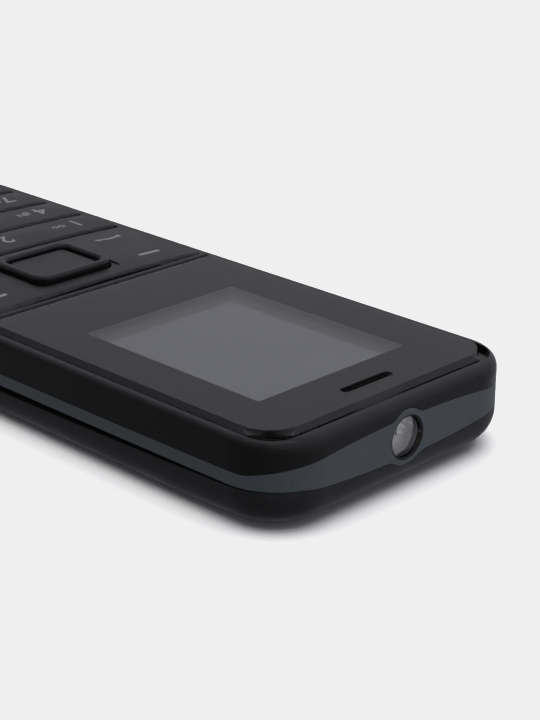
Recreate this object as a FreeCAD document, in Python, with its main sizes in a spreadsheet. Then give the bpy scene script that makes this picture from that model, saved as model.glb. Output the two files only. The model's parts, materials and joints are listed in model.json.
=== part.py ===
import FreeCAD, Part
import math
import os
import Sketcher
from FreeCAD import Vector

# A bar phone lying on its back. X runs to the phone's right, Y towards the end with the torch and
# Z out of the screen. The origin is in the middle of the footprint, on the surface it lies on.
# All lengths are in millimetres.

SIZES = {
    # Case, its outline and its rounded edges
    "case_length": 124.0,
    "case_width": 48.4,
    "case_corner": 8.8,
    "case_wall": 1.2,
    "rim_height": 13.05,
    "rim_round_side": 0.9,
    "rim_round_end": 1.9,
    "back_round": 4.9,
    "back_flat_length": 80.0,
    "back_rise": 1.25,
    # Edges of the band, as heights at mid-length and their rise towards the ends
    "band_top_middle": 7.83,
    "band_top_rise": 0.49,
    "band_low_middle": 6.11,
    "band_low_rise": 0.34,
    "cover_edge_middle": 5.15,
    "cover_edge_rise": 1.3,
    "arch_foot": 7.55,
    "arch_rise": 3.35,
    "arch_half_width": 24.3,
    "dip_low": 5.3,
    "dip_rise": 1.83,
    "cover_gap": 0.15,
    # Torch in the top end
    "torch_height": 8.0,
    "bulge_radius": 3.95,
    "bulge_blend": 3.0,
    "blend_bite": 0.02,
    "torch_lens_radius": 3.1,
    "torch_lens_edge": 1.3,
    "torch_dome_rise": 0.45,
    "torch_gap": 0.06,
    "reflector_depth": 2.6,
    "reflector_wall": 0.25,
    "reflector_bow": 5.2,
    "led_radius": 0.9,
    "led_length": 1.5,
    "led_base_radius": 1.35,
    # Display lens and its seat in the front shell
    "lens_top": 13.7,
    "lens_thickness": 1.2,
    "lens_side_gap": 1.65,
    "lens_end_gap": 2.95,
    "lens_length": 57.2,
    "lens_bevel": 0.7,
    "lens_low_bevel": 0.28,
    "lens_corner_cut": 4.3,
    "lens_flat_corner": 5.0,
    "lens_low_corner": 0.8,
    "lens_gap": 0.25,
    "lens_pocket_corner": 4.5,
    "lens_glue": 0.15,
    "lens_glue_width": 2.4,
    "ledge_thickness": 1.0,
    "window_width": 28.6,
    "window_length": 34.4,
    "window_start": 12.55,
    "window_margin": 1.2,
    # Earpiece
    "ear_end_gap": 4.4,
    "ear_slot_length": 9.6,
    "ear_slot_width": 1.5,
    "ear_mesh_margin": 0.6,
    "receiver_length": 15.0,
    "receiver_width": 3.9,
    "receiver_height": 2.4,
    "receiver_corner": 1.35,
    # Display module
    "panel_width": 33.0,
    "panel_length": 40.4,
    "panel_thickness": 1.05,
    "panel_margin": 4.0,
    "frame_width": 34.4,
    "frame_length": 45.6,
    "frame_margin": 4.8,
    "panel_clearance": 0.1,
    "flex_width": 16.0,
    "flex_thickness": 0.15,
    "flex_foot": 2.4,
    # Main board and the housing that carries it
    "bay_floor": 0.8,
    "board_thickness": 1.0,
    "board_side_gap": 2.6,
    "board_low_gap": 2.7,
    "board_high_gap": 5.4,
    "board_corner": 6.3,
    "housing_wall": 1.0,
    # Battery and its bay
    "battery_width": 34.0,
    "battery_length": 53.0,
    "battery_thickness": 5.3,
    "battery_middle_y": -11.5,
    "battery_end_room": 5.0,
    "battery_corner": 1.6,
    "battery_clearance": 0.25,
    # Keys
    "key_top": 14.2,
    "key_bottom": 11.45,
    "key_side_gap": 2.2,
    "key_gap": 0.15,
    "key_crown_radius": 403.0,
    "row_crown_radius": 38.0,
    "plate_crown_radius": 160.0,
    "key_edge_round": 0.6,
    "key_corner": 0.8,
    "key_flange_reach": 0.6,
    "key_flange_height": 0.5,
    "key_flange_gap": 0.02,
    "key_travel": 0.3,
    "key_floor_gap": 0.2,
    "cross_rib": 2.65,
    "plate_length": 19.5,
    "row_pitch": 9.25,
    "row_length": 8.55,
    "row_gap": 0.7,
    "ring_start": 9.6,
    "ring_width": 14.8,
    "ring_length": 12.8,
    "ring_corner": 2.9,
    "ring_rim": 1.45,
    "ring_top": 15.1,
    "ring_round": 0.55,
    "ring_clearance": 0.6,
    "ok_clearance": 0.3,
    "ring_rib_radius": 0.4,
    "plate_hole_corner": 1.2,
    "ok_top": 14.5,
    # Keypad mat and dome sheet
    "dome_sheet_thickness": 0.25,
    "mat_edge_gap": 1.2,
    "mat_low_gap": 1.5,
    "mat_top": 11.0,
    "mat_web": 0.4,
    "mat_skirt": 0.9,
    "nib_radius": 1.4,
    "nib_clearance": 0.05,
    "plate_nib_shift": 5.1,
    "ring_nib_across": 5.9,
    "ring_nib_along": 4.6,
    "ring_nib_radius": 1.1,
    "key_column_pitch": 14.5,
    # Sockets in the bottom end
    "usb_x": -7.5,
    "usb_lift": 0.4,
    "usb_width": 7.5,
    "usb_thickness": 2.7,
    "usb_depth": 5.6,
    "usb_shell": 0.3,
    "usb_tongue_width": 3.8,
    "usb_tongue_length": 4.5,
    "usb_mouth_gap": 0.2,
    "jack_x": 7.5,
    "jack_lift": 0.4,
    "jack_width": 6.4,
    "jack_thickness": 4.8,
    "jack_bore_depth": 14.0,
    "jack_back_wall": 0.8,
    "jack_bore_radius": 1.8,
    "jack_nose_radius": 2.1,
    "socket_gap": 0.15,
    "socket_inset": 0.15,
    # Microphone
    "mic_radius": 1.35,
    "mic_length": 1.2,
    "mic_boot_width": 4.6,
    "mic_boot_length": 3.4,
    "mic_boot_height": 1.9,
    "mic_end_gap": 4.4,
    # Pieces on the back of the board
    "card_window_length": 15.6,
    "card_window_half_width": 19.0,
    "holder_thickness": 1.5,
    "holder_wall": 0.25,
    "sim_width": 16.6,
    "sim_x": -9.6,
    "memory_width": 13.4,
    "memory_x": 10.2,
    "holder_length": 14.6,
    "pocket_half_width": 17.4,
    "pocket_rib": 2.0,
    "top_pocket_length": 17.8,
    "end_pocket_gap": 5.5,
    "end_pocket_length": 16.0,
    "speaker_x": 5.6,
    "speaker_start": 8.6,
    "speaker_width": 17.0,
    "speaker_length": 12.0,
    "speaker_height": 3.4,
    "speaker_corner": 3.6,
    "speaker_gasket_height": 1.5,
    "speaker_gasket_wall": 1.2,
    "grille_pitch": 1.9,
    "grille_slot": 0.8,
    "grille_reach": 5.1,
    "camera_x": -11.2,
    "camera_size": 7.6,
    "camera_base": 2.2,
    "camera_barrel_radius": 2.7,
    "camera_barrel_height": 2.2,
    "camera_window_radius": 3.2,
    "camera_window_thickness": 0.6,
    "camera_window_ledge": 0.6,
    "camera_window_gap": 0.1,
    "camera_window_rise": 0.3,
    "motor_start": 12.6,
    "motor_x": 4.0,
    "motor_radius": 1.9,
    "motor_length": 7.6,
    "motor_drop": 2.5,
    "motor_boot_wall": 0.6,
    "motor_boot_length": 6.0,
    "motor_shaft_radius": 0.4,
    "weight_radius": 2.15,
    "weight_length": 2.8,
    "weight_gap": 0.6,
    "weight_hub_radius": 0.9,
    "shaft_clearance": 0.05,
    "shield_x": -9.2,
    "shield_width": 15.0,
    "shield_length": 13.0,
    "shield_height": 1.6,
    "shield_sheet": 0.2,
    "antenna_x": -5.5,
    "antenna_width": 19.0,
    "antenna_thickness": 0.12,
    "antenna_height": 3.6,
    "antenna_rise": 2.8,
    "connector_width": 9.6,
    "connector_length": 3.2,
    "connector_height": 4.0,
    "connector_x": 8.5,
    "blade_width": 0.8,
    "blade_reach": 0.15,
    "blade_height": 2.2,
    "blade_pitch": 2.6,
    "pad_thickness": 0.05,
    "pad_width": 1.6,
    "pad_height": 2.6,
    # Screws
    "screw_side_gap": 4.3,
    "screw_start": 2.35,
    "screw_end_gap": 7.8,
    "screw_radius": 0.6,
    "screw_clearance": 0.15,
    "screw_bite": 0.04,
    "screw_head_radius": 1.25,
    "screw_head_height": 0.8,
    "screw_shelf": 1.5,
    "boss_radius": 1.8,
}

doc = FreeCAD.newDocument("bar_phone")
sheet = doc.addObject("Spreadsheet::Sheet", "dims")
for row, (alias, number) in enumerate(SIZES.items(), 1):
    sheet.set("A%d" % row, alias)
    sheet.set("B%d" % row, repr(number))
    sheet.setAlias("B%d" % row, alias)
doc.recompute()


class Size:
    """A length that knows its number and the sheet formula it comes from."""

    def __init__(self, number, text):
        self.number = float(number)
        self.text = text

    def __float__(self):
        return self.number

    def __neg__(self):
        return Size(-self.number, "(-1 * %s)" % self.text)

    def __add__(self, other):
        return Size(self.number + float(other), "(%s + %s)" % (self.text, text_of(other)))

    def __radd__(self, other):
        return self + other

    def __sub__(self, other):
        return Size(self.number - float(other), "(%s - %s)" % (self.text, text_of(other)))

    def __mul__(self, other):
        return Size(self.number * float(other), "(%s * %s)" % (self.text, text_of(other)))

    def __truediv__(self, other):
        return Size(self.number / float(other), "(%s / %s)" % (self.text, text_of(other)))


def text_of(value):
    """The formula of a size, or a plain number as text."""
    return value.text if isinstance(value, Size) else repr(float(value))


def root(value):
    """The square root of a size."""
    return Size(math.sqrt(value.number), "sqrt(%s)" % value.text)


class SizeTable:
    """Each cell of the sheet as a size of the same name."""

    def __getattr__(self, alias):
        return Size(sheet.get(alias), "dims." + alias)


s = SizeTable()


def tie(feature, path, value):
    """Set a property and bind it to its formula."""
    if isinstance(value, Size):
        feature.setExpression(path, value.text)
    else:
        setattr(feature, path, value)


def place(feature, across, along, up):
    """Bind the three coordinates of an object's place."""
    for axis, value in zip("xyz", (across, along, up)):
        if isinstance(value, Size):
            feature.setExpression("Placement.Base." + axis, value.text)


def new_body(name):
    body = doc.addObject("PartDesign::Body", name)
    body.Label = name
    return body


def sketch_on(body, role, name, offset=None):
    """A sketch on one of the body's own origin planes, moved along the plane's normal."""
    sketch = body.newObject("Sketcher::SketchObject", name)
    plane = next(one for one in body.Origin.OriginFeatures if one.Role == role)
    sketch.AttachmentSupport = [(plane, "")]
    sketch.MapMode = "FlatFace"
    if offset is not None:
        sketch.setExpression("AttachmentOffset.Base.z", text_of(offset))
    return sketch


def hold(sketch, kind, *where, value):
    """Add one dimension to a sketch and bind it to its formula."""
    number = sketch.addConstraint(Sketcher.Constraint(kind, *where, float(value)))
    if isinstance(value, Size):
        sketch.setExpression("Constraints[%d]" % number, value.text)


def draw(sketch, corners, arcs=None):
    """A closed outline through corners. arcs gives, for a side's number, the radius of the arc
    that replaces the line and whether that arc turns to the left."""
    arcs = arcs or {}
    ends = []
    for side, corner in enumerate(corners):
        first = Vector(float(corner[0]), float(corner[1]), 0)
        following = corners[(side + 1) % len(corners)]
        last = Vector(float(following[0]), float(following[1]), 0)
        if side not in arcs:
            line = sketch.addGeometry(Part.LineSegment(first, last), False)
            ends.append((line, 1, 2))
            continue
        radius, turns_left = arcs[side]
        half = (last - first) / 2
        reach = math.sqrt(max(float(radius) ** 2 - half.Length ** 2, 0.0))
        left = Vector(-half.y, half.x, 0).normalize()
        centre = (first + last) / 2 + left * (reach if turns_left else -reach)
        circle = Part.Circle(centre, Vector(0, 0, 1), float(radius))
        angles = [math.atan2(end.y - centre.y, end.x - centre.x) for end in (first, last)]
        if not turns_left:
            angles.reverse()
        arc = sketch.addGeometry(Part.ArcOfCircle(circle, angles[0], angles[1]), False)
        ends.append((arc, 1, 2) if turns_left else (arc, 2, 1))
    for side, (edge, start, finish) in enumerate(ends):
        following, next_start, _ = ends[(side + 1) % len(ends)]
        sketch.addConstraint(Sketcher.Constraint("Coincident", edge, finish, following, next_start))
    for (edge, start, _), corner in zip(ends, corners):
        hold(sketch, "DistanceX", -1, 1, edge, start, value=corner[0])
        hold(sketch, "DistanceY", -1, 1, edge, start, value=corner[1])
    for side, (radius, _) in arcs.items():
        hold(sketch, "Radius", ends[side][0], value=radius)


def draw_box(sketch, left, right, low, high, corner=None):
    """A rectangle, with rounded corners if a corner radius is given."""
    if corner is None:
        draw(sketch, [(left, low), (right, low), (right, high), (left, high)])
        return
    points = [
        (left + corner, low),
        (right - corner, low),
        (right, low + corner),
        (right, high - corner),
        (right - corner, high),
        (left + corner, high),
        (left, high - corner),
        (left, low + corner),
    ]
    draw(sketch, points, {side: (corner, True) for side in (1, 3, 5, 7)})


def corners_outline(sketch, side, low, high, low_corner, high_corner, rounded=True):
    """A plate symmetric across X: round low corners, and high corners either round or cut straight."""
    points = [
        (-side + low_corner, low),
        (side - low_corner, low),
        (side, low + low_corner),
        (side, high - high_corner),
        (side - high_corner, high),
        (-side + high_corner, high),
        (-side, high - high_corner),
        (-side, low + low_corner),
    ]
    rounds = {1: (low_corner, True), 7: (low_corner, True)}
    if rounded:
        rounds[3] = (high_corner, True)
        rounds[5] = (high_corner, True)
    draw(sketch, points, rounds)


def draw_circle(sketch, across, along, radius):
    centre = Vector(float(across), float(along), 0)
    circle = sketch.addGeometry(Part.Circle(centre, Vector(0, 0, 1), float(radius)), False)
    hold(sketch, "DistanceX", -1, 1, circle, 3, value=across)
    hold(sketch, "DistanceY", -1, 1, circle, 3, value=along)
    hold(sketch, "Radius", circle, value=radius)


def pad(body, name, sketch, length, symmetric=False, downwards=False):
    feature = body.newObject("PartDesign::Pad", name)
    feature.Profile = sketch
    feature.SideType = "Symmetric" if symmetric else "One side"
    feature.Reversed = downwards
    tie(feature, "Length", length)
    return feature


def pocket(body, name, sketch, depth, symmetric=False, upwards=False):
    """Cut the sketch away, against its normal unless upwards is set."""
    feature = body.newObject("PartDesign::Pocket", name)
    feature.Profile = sketch
    feature.SideType = "Symmetric" if symmetric else "One side"
    feature.Reversed = upwards
    tie(feature, "Length", depth)
    return feature


def fillet(body, name, radius, chosen):
    """Round the edges of the body's last feature for which chosen says yes."""
    doc.recompute()
    base = body.Tip
    edges = []
    for number, edge in enumerate(base.Shape.Edges, 1):
        middle = edge.valueAt((edge.FirstParameter + edge.LastParameter) / 2)
        if chosen(middle, edge.BoundBox):
            edges.append("Edge%d" % number)
    feature = body.newObject("PartDesign::Fillet", name)
    feature.Base = (base, edges)
    tie(feature, "Radius", radius)
    return feature


def block(name, centre, low_y, low_z, width, length, height, corner=None):
    """A flat block centred across X on centre, from low_y and low_z upwards."""
    body = new_body(name)
    outline = sketch_on(body, "XY_Plane", name + "_outline")
    draw_box(outline, -(width / 2), width / 2, 0.0, length, corner)
    pad(body, name + "_pad", outline, height)
    place(body, centre, low_y, low_z)
    return body


def cylinder(name, radius, length, turn, across, along, up):
    """A round primitive turned onto an axis and placed."""
    feature = doc.addObject("Part::Cylinder", name)
    tie(feature, "Radius", radius)
    tie(feature, "Height", length)
    feature.Placement = FreeCAD.Placement(Vector(0, 0, 0), turn)
    place(feature, across, along, up)
    return feature


ALONG_X = FreeCAD.Rotation(Vector(0, 1, 0), 90)
ALONG_Y = FreeCAD.Rotation(Vector(1, 0, 0), -90)
ALONG_Z = FreeCAD.Rotation()


def cut(name, base, *tools):
    """The base without the tools."""
    tool = tools[0] if len(tools) == 1 else join(name + "_tools", *tools)
    feature = doc.addObject("Part::Cut", name)
    feature.Base = base
    feature.Tool = tool
    return feature


def common(name, base, tool):
    feature = doc.addObject("Part::Common", name)
    feature.Base = base
    feature.Tool = tool
    return feature


def join(name, *shapes):
    feature = doc.addObject("Part::MultiFuse", name)
    feature.Shapes = list(shapes)
    return feature


# A slot's corner radius as a share of half its width, just short of a half circle

ALMOST_ROUND = 0.9

# Values worked out from the driving sizes and used by several pieces

half_length = s.case_length / 2
half_width = s.case_width / 2
inner_half_length = half_length - s.case_wall
inner_half_width = half_width - s.case_wall
inner_corner = s.case_corner - s.case_wall
lens_bottom = s.lens_top - s.lens_thickness
lens_floor = lens_bottom - s.lens_glue
ledge_bottom = lens_floor - s.ledge_thickness
housing_inset = s.case_wall + s.cover_gap
bay_ceiling = housing_inset + s.battery_thickness + s.battery_clearance
board_bottom = bay_ceiling + s.bay_floor
board_top = board_bottom + s.board_thickness
usb_height = board_bottom + s.usb_lift
jack_height = board_bottom + s.jack_lift
jack_depth = s.jack_bore_depth + s.jack_back_wall
sheet_top = board_top + s.dome_sheet_thickness
frame_height = ledge_bottom - s.panel_clearance - s.panel_thickness - board_top
panel_bottom = board_top + frame_height
key_roof = s.key_bottom + s.key_flange_height + s.key_flange_gap
lens_half_width = half_width - s.lens_side_gap
lens_high_y = half_length - s.lens_end_gap
lens_low_y = lens_high_y - s.lens_length
window_low_y = lens_low_y + s.window_start
ear_y = lens_high_y - s.ear_end_gap
panel_low_y = window_low_y - s.panel_margin
frame_low_y = panel_low_y - s.frame_margin
key_half_width = half_width - s.key_side_gap
plate_high_y = lens_low_y - s.cross_rib
plate_low_y = plate_high_y - s.plate_length
ring_y = plate_high_y - s.ring_start
first_row_y = plate_low_y - s.row_gap - s.row_length / 2
keys_low_y = first_row_y - s.row_pitch * 3 - s.row_length / 2
mat_half_width = key_half_width - s.mat_edge_gap
mat_high_y = plate_high_y - s.mat_edge_gap
mat_low_y = keys_low_y + s.mat_low_gap
board_half_width = half_width - s.board_side_gap
board_low_y = s.board_low_gap - half_length
board_high_y = half_length - s.board_high_gap
battery_low_y = s.battery_middle_y - s.battery_length / 2
battery_high_y = s.battery_middle_y + s.battery_length / 2
card_window_low_y = battery_high_y + s.battery_end_room
top_pocket_low_y = card_window_low_y + s.card_window_length + s.pocket_rib
speaker_y = top_pocket_low_y + s.speaker_start
camera_y = speaker_y
end_pocket_low_y = s.end_pocket_gap - half_length
motor_y = end_pocket_low_y + s.motor_start
mic_y = s.mic_end_gap - half_length
screw_x = half_width - s.screw_side_gap
screw_low_y = lens_low_y + s.screw_start
screw_high_y = half_length - s.screw_end_gap
torch_back = half_length - s.torch_dome_rise - s.torch_lens_edge
reflector_back = torch_back - s.reflector_depth


# Outer form of the case, made once at full size and once for each inset inner wall


def case_form(name, inset):
    """The case's rounded block: plan corners, a back that rises to the ends, and a round back edge."""
    body = new_body(name)
    wide = half_width - inset
    far = half_length - inset
    outline = sketch_on(body, "XY_Plane", name + "_plan")
    draw_box(outline, -wide, wide, -far, far, s.case_corner - inset)
    pad(body, name + "_pad", outline, s.rim_height)
    flat = s.back_flat_length / 2
    run = half_length - flat
    bend = (run * run + s.back_rise * s.back_rise) / (s.back_rise * 2)
    low = inset
    rise = bend - root(bend * bend - (far - flat) * (far - flat)) + low
    below = -s.case_wall
    side = sketch_on(body, "YZ_Plane", name + "_back")
    corners = [
        (-far, below),
        (far, below),
        (far, rise),
        (flat, low),
        (-flat, low),
        (-far, rise),
    ]
    draw(side, corners, {2: (bend, False), 4: (bend, False)})
    pocket(body, name + "_back_cut", side, s.case_width * 2, symmetric=True)
    edge_reach = float(s.case_corner)

    def on_back_edge(middle, box):
        outside = abs(middle.x) > float(wide) - edge_reach * 0.5
        outside = outside or abs(middle.y) > float(far) - edge_reach * 0.5
        return outside and box.ZMax < float(s.back_rise + low) + 0.6

    fillet(body, name + "_back_round", s.back_round - inset, on_back_edge)
    return body


def rounded_rim(form):
    """Round the upper edge of the case, more at the ends than along the sides."""
    doc.recompute()
    side_round = float(s.rim_round_side)
    end_round = float(s.rim_round_end)
    edges = []
    for number, edge in enumerate(form.Shape.Edges, 1):
        if edge.BoundBox.ZMin < float(s.rim_height) - 0.01:
            continue
        radii = []
        for parameter in (edge.FirstParameter, edge.LastParameter):
            point = edge.valueAt(parameter)
            at_side = abs(point.x) > float(half_width) - 0.01
            radii.append(side_round if at_side else end_round)
        edges.append((number, radii[0], radii[1]))
    feature = doc.addObject("Part::Fillet", "case_outside")
    feature.Base = form
    feature.Edges = edges
    return feature


# Regions that part the case into front shell, band and cover


def side_arc(name, middle, rise):
    """All that lies above a shallow arc seen from the side, low at mid-length, higher at the ends."""
    radius = (half_length * half_length + rise * rise) / (rise * 2)
    return cylinder(name, radius, s.case_width * 2, ALONG_X, -s.case_width, None, middle + radius)


def end_dip(name, lower):
    """All that lies above a shallow arc seen from the end, low in the middle."""
    radius = (half_width * half_width + s.dip_rise * s.dip_rise) / (s.dip_rise * 2)
    height = s.dip_low - lower + radius
    return cylinder(name, radius, s.case_length * 2, ALONG_Y, None, -s.case_length, height)


def end_arch():
    """All that lies under the elliptical arch that the band's upper edge follows at the ends."""
    body = new_body("arch_region")
    section = sketch_on(body, "XZ_Plane", "arch_section")
    centre = Vector(0, float(s.arch_foot), 0)
    major = centre + Vector(float(s.arch_half_width), 0, 0)
    minor = centre + Vector(0, float(s.arch_rise), 0)
    ellipse = section.addGeometry(Part.Ellipse(major, minor, centre), False)
    section.exposeInternalGeometry(ellipse)
    section.addConstraint(Sketcher.Constraint("Horizontal", ellipse + 1))
    hold(section, "DistanceX", -1, 1, ellipse, 3, value=0.0)
    hold(section, "DistanceY", -1, 1, ellipse, 3, value=s.arch_foot)
    hold(section, "Distance", ellipse + 1, 1, ellipse + 1, 2, value=s.arch_half_width * 2)
    hold(section, "Distance", ellipse + 2, 1, ellipse + 2, 2, value=s.arch_rise * 2)
    pad(body, "arch_pad", section, s.case_length * 2, symmetric=True)
    return body


def bulge_blends(name, gap):
    """Four concave corners that lead the band's edges into the bulge, seen from the end. Each is
    tangent to the bulge and to the arc of the edge, less a small bite so that the faces cross."""
    body = new_body(name)
    section = sketch_on(body, "XZ_Plane", name + "_section", -bulge_base - s.case_wall * 2)
    blend = s.bulge_blend - gap
    inner = s.bulge_radius + gap - s.blend_bite
    dip = (half_width * half_width + s.dip_rise * s.dip_rise) / (s.dip_rise * 2)
    arch = s.arch_half_width * s.arch_half_width / s.arch_rise
    dip_centre = s.dip_low - gap + dip
    arch_centre = s.arch_foot + s.arch_rise + gap - arch
    for upwards, edge, centre in ((-1, dip, dip_centre), (1, arch, arch_centre)):
        bend = edge - s.blend_bite
        apart = centre - s.torch_height
        near = inner + blend
        far = bend + blend
        up = (near * near - far * far + apart * apart) / (apart * 2)
        side = root(near * near - up * up)
        on_bulge = (side * (inner / near), s.torch_height + up * (inner / near))
        on_edge = (side * (bend / far), centre + (up - apart) * (bend / far))
        for across in (-1, 1):
            corners = [
                (on_edge[0] * across, s.torch_height),
                (on_bulge[0] * across, on_bulge[1]),
                (on_edge[0] * across, on_edge[1]),
            ]
            draw(section, corners, {1: (blend, across * upwards > 0)})
    pad(body, name + "_pad", section, s.case_wall * 2)
    return body


def inner_prism():
    """The space inside the walls, full height."""
    body = new_body("inner_prism")
    plan = sketch_on(body, "XY_Plane", "inner_plan", -s.case_wall)
    draw_box(plan, -inner_half_width, inner_half_width, -inner_half_length, inner_half_length, inner_corner)
    pad(body, "inner_pad", plan, s.rim_height * 2)
    return body


case_outside = rounded_rim(case_form("case_blank", 0.0))
band_top_side = side_arc("band_top_side", s.band_top_middle, s.band_top_rise)
band_low_side = side_arc("band_low_side", s.band_low_middle, s.band_low_rise)
cover_edge_side = side_arc("cover_edge_side", s.cover_edge_middle, s.cover_edge_rise)
band_low_end = end_dip("band_low_end", 0.0)
cover_edge_end = end_dip("cover_edge_end", s.torch_gap)
bulge_base = half_length - s.case_wall


def bulge_form(name, gap):
    """The round bulge about the torch with its blends, grown by a gap."""
    disc = cylinder(
        name + "_disc", s.bulge_radius + gap, s.case_wall * 2, ALONG_Y, None, bulge_base, s.torch_height
    )
    return join(name, disc, bulge_blends(name + "_blends", gap))


bulge = bulge_form("bulge", 0.0)
bulge_room = bulge_form("bulge_room", s.torch_gap)
walls_inside = inner_prism()
above_band = cut("above_band", common("case_above_side_arc", case_outside, band_top_side), end_arch())


def socket_mouth(name, centre, height, width, thickness):
    """A slot with round ends through the bottom end, as the tool that cuts it."""
    body = new_body(name)
    mouth = sketch_on(body, "XZ_Plane", name + "_outline", half_length - s.case_wall * 2)
    half = thickness / 2
    draw_box(mouth, centre - width / 2, centre + width / 2, height - half, height + half, half * ALMOST_ROUND)
    pad(body, name + "_pad", mouth, s.case_wall * 3)
    return body


# Front shell: glossy casing with the lens seat, the cross rib and the key opening


def front_shell():
    room = new_body("shell_room")
    cavity = sketch_on(room, "XY_Plane", "cavity_plan")
    draw_box(cavity, -inner_half_width, inner_half_width, -inner_half_length, inner_half_length, inner_corner)
    pad(room, "cavity", cavity, ledge_bottom)
    opening = sketch_on(room, "XY_Plane", "window_opening", ledge_bottom - s.case_wall)
    margin = s.window_margin
    draw_box(
        opening,
        -(s.window_width / 2) - margin,
        s.window_width / 2 + margin,
        window_low_y - margin,
        window_low_y + s.window_length + margin,
        margin,
    )
    pad(room, "window_through", opening, s.ledge_thickness * 2 + s.case_wall)
    ear = sketch_on(room, "XY_Plane", "ear_opening", ledge_bottom - s.case_wall)
    half = s.ear_slot_length / 2
    draw_box(ear, -half, half, ear_y - s.ear_slot_width / 2, ear_y + s.ear_slot_width / 2)
    pad(room, "ear_through", ear, s.ledge_thickness * 2 + s.case_wall)
    seat = sketch_on(room, "XY_Plane", "lens_seat_plan", lens_floor)
    side = lens_half_width + s.lens_gap
    low = lens_low_y - s.lens_gap
    high = lens_high_y + s.lens_gap * 2
    corners_outline(seat, side, low, high, s.lens_low_corner + s.lens_gap, s.lens_pocket_corner)
    pad(room, "lens_seat", seat, s.rim_height)
    side = key_half_width + s.key_gap
    under = sketch_on(room, "XY_Plane", "key_room_plan", ledge_bottom - s.case_wall)
    wide = side + s.key_flange_reach
    draw_box(under, -wide, wide, keys_low_y - s.key_gap, plate_high_y + s.key_gap, s.key_corner)
    pad(room, "key_room", under, key_roof - ledge_bottom + s.case_wall)
    mouth = sketch_on(room, "XY_Plane", "key_opening_plan", ledge_bottom)
    draw_box(mouth, -side, side, keys_low_y - s.key_gap, plate_high_y + s.row_gap, s.key_corner)
    pad(room, "key_opening", mouth, s.rim_height)
    hollow = cut("shell_hollow", above_band, room, bulge_room)
    bosses = []
    pilots = []
    for number, (across, along) in enumerate(screw_places()):
        height = ledge_bottom - board_top
        bosses.append(cylinder("boss_%d" % number, s.boss_radius, height, ALONG_Z, across, along, board_top))
        pilots.append(
            cylinder(
                "pilot_%d" % number, s.screw_radius + s.screw_bite, height, ALONG_Z, across, along, board_top
            )
        )
    return cut("front_shell", join("shell_with_bosses", hollow, *bosses), *pilots)


def screw_places():
    """The four screws, mirrored across the phone."""
    for along in (screw_low_y, screw_high_y):
        for across in (-screw_x, screw_x):
            yield across, along


# Band round the waist, with the torch bulge and the socket mouths


def side_band():
    above_low_edge = join("above_low_edge", band_low_side, band_low_end)
    blank = cut("band_blank", common("case_above_low_edge", case_outside, above_low_edge), above_band)
    with_bulge = join("band_with_bulge", blank, common("bulge_disc", case_outside, bulge))
    torch_hole = cylinder(
        "torch_hole", s.torch_lens_radius + s.torch_gap, s.case_wall * 4, ALONG_Y, None,
        bulge_base - s.case_wall, s.torch_height,
    )
    jack_hole = cylinder(
        "jack_hole", s.jack_nose_radius + s.socket_gap, s.case_wall * 4, ALONG_Y, s.jack_x,
        -half_length - s.case_wall, jack_height,
    )
    mouth_width = s.usb_width + s.usb_mouth_gap * 2
    usb = socket_mouth("usb_mouth", s.usb_x, usb_height, mouth_width, s.usb_thickness + s.usb_mouth_gap * 2)
    return cut("side_band", with_bulge, walls_inside, torch_hole, jack_hole, usb)


# Back cover: the battery lid, wrapped up round the sides and ends


def back_cover():
    above_edge = join("above_cover_edge", cover_edge_side, cover_edge_end)
    outer = cut("cover_outer", case_outside, above_edge, bulge_room)
    hollow = cut("cover_hollow", outer, case_form("cover_inside", s.case_wall))
    seat_depth = s.case_wall + s.camera_window_rise + s.camera_window_thickness
    seat = cylinder(
        "camera_window_seat", s.camera_window_radius + s.camera_window_gap, seat_depth, ALONG_Z,
        s.camera_x, camera_y, -s.case_wall,
    )
    hole = cylinder(
        "camera_hole", s.camera_window_radius - s.camera_window_ledge, s.case_wall * 4, ALONG_Z,
        s.camera_x, camera_y, -s.case_wall,
    )
    grille = new_body("speaker_grille")
    slots = sketch_on(grille, "XY_Plane", "grille_slots", -s.case_wall)
    half = s.grille_slot / 2
    for number in range(-2, 3):
        middle = speaker_y + s.grille_pitch * number
        left = s.speaker_x - s.grille_reach
        draw_box(slots, left, s.speaker_x + s.grille_reach, middle - half, middle + half)
    pad(grille, "grille_pad", slots, s.case_wall * 4)
    torch_room = cylinder(
        "cover_torch_room", s.torch_lens_radius + s.torch_gap * 2, s.case_wall * 2, ALONG_Y, None,
        torch_back - s.torch_gap, s.torch_height,
    )
    return cut("back_cover", hollow, seat, hole, grille, torch_room)


above = front_shell()
band = side_band()
lid = back_cover()


# Rear housing: inner frame that carries the board above and the battery below


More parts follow.
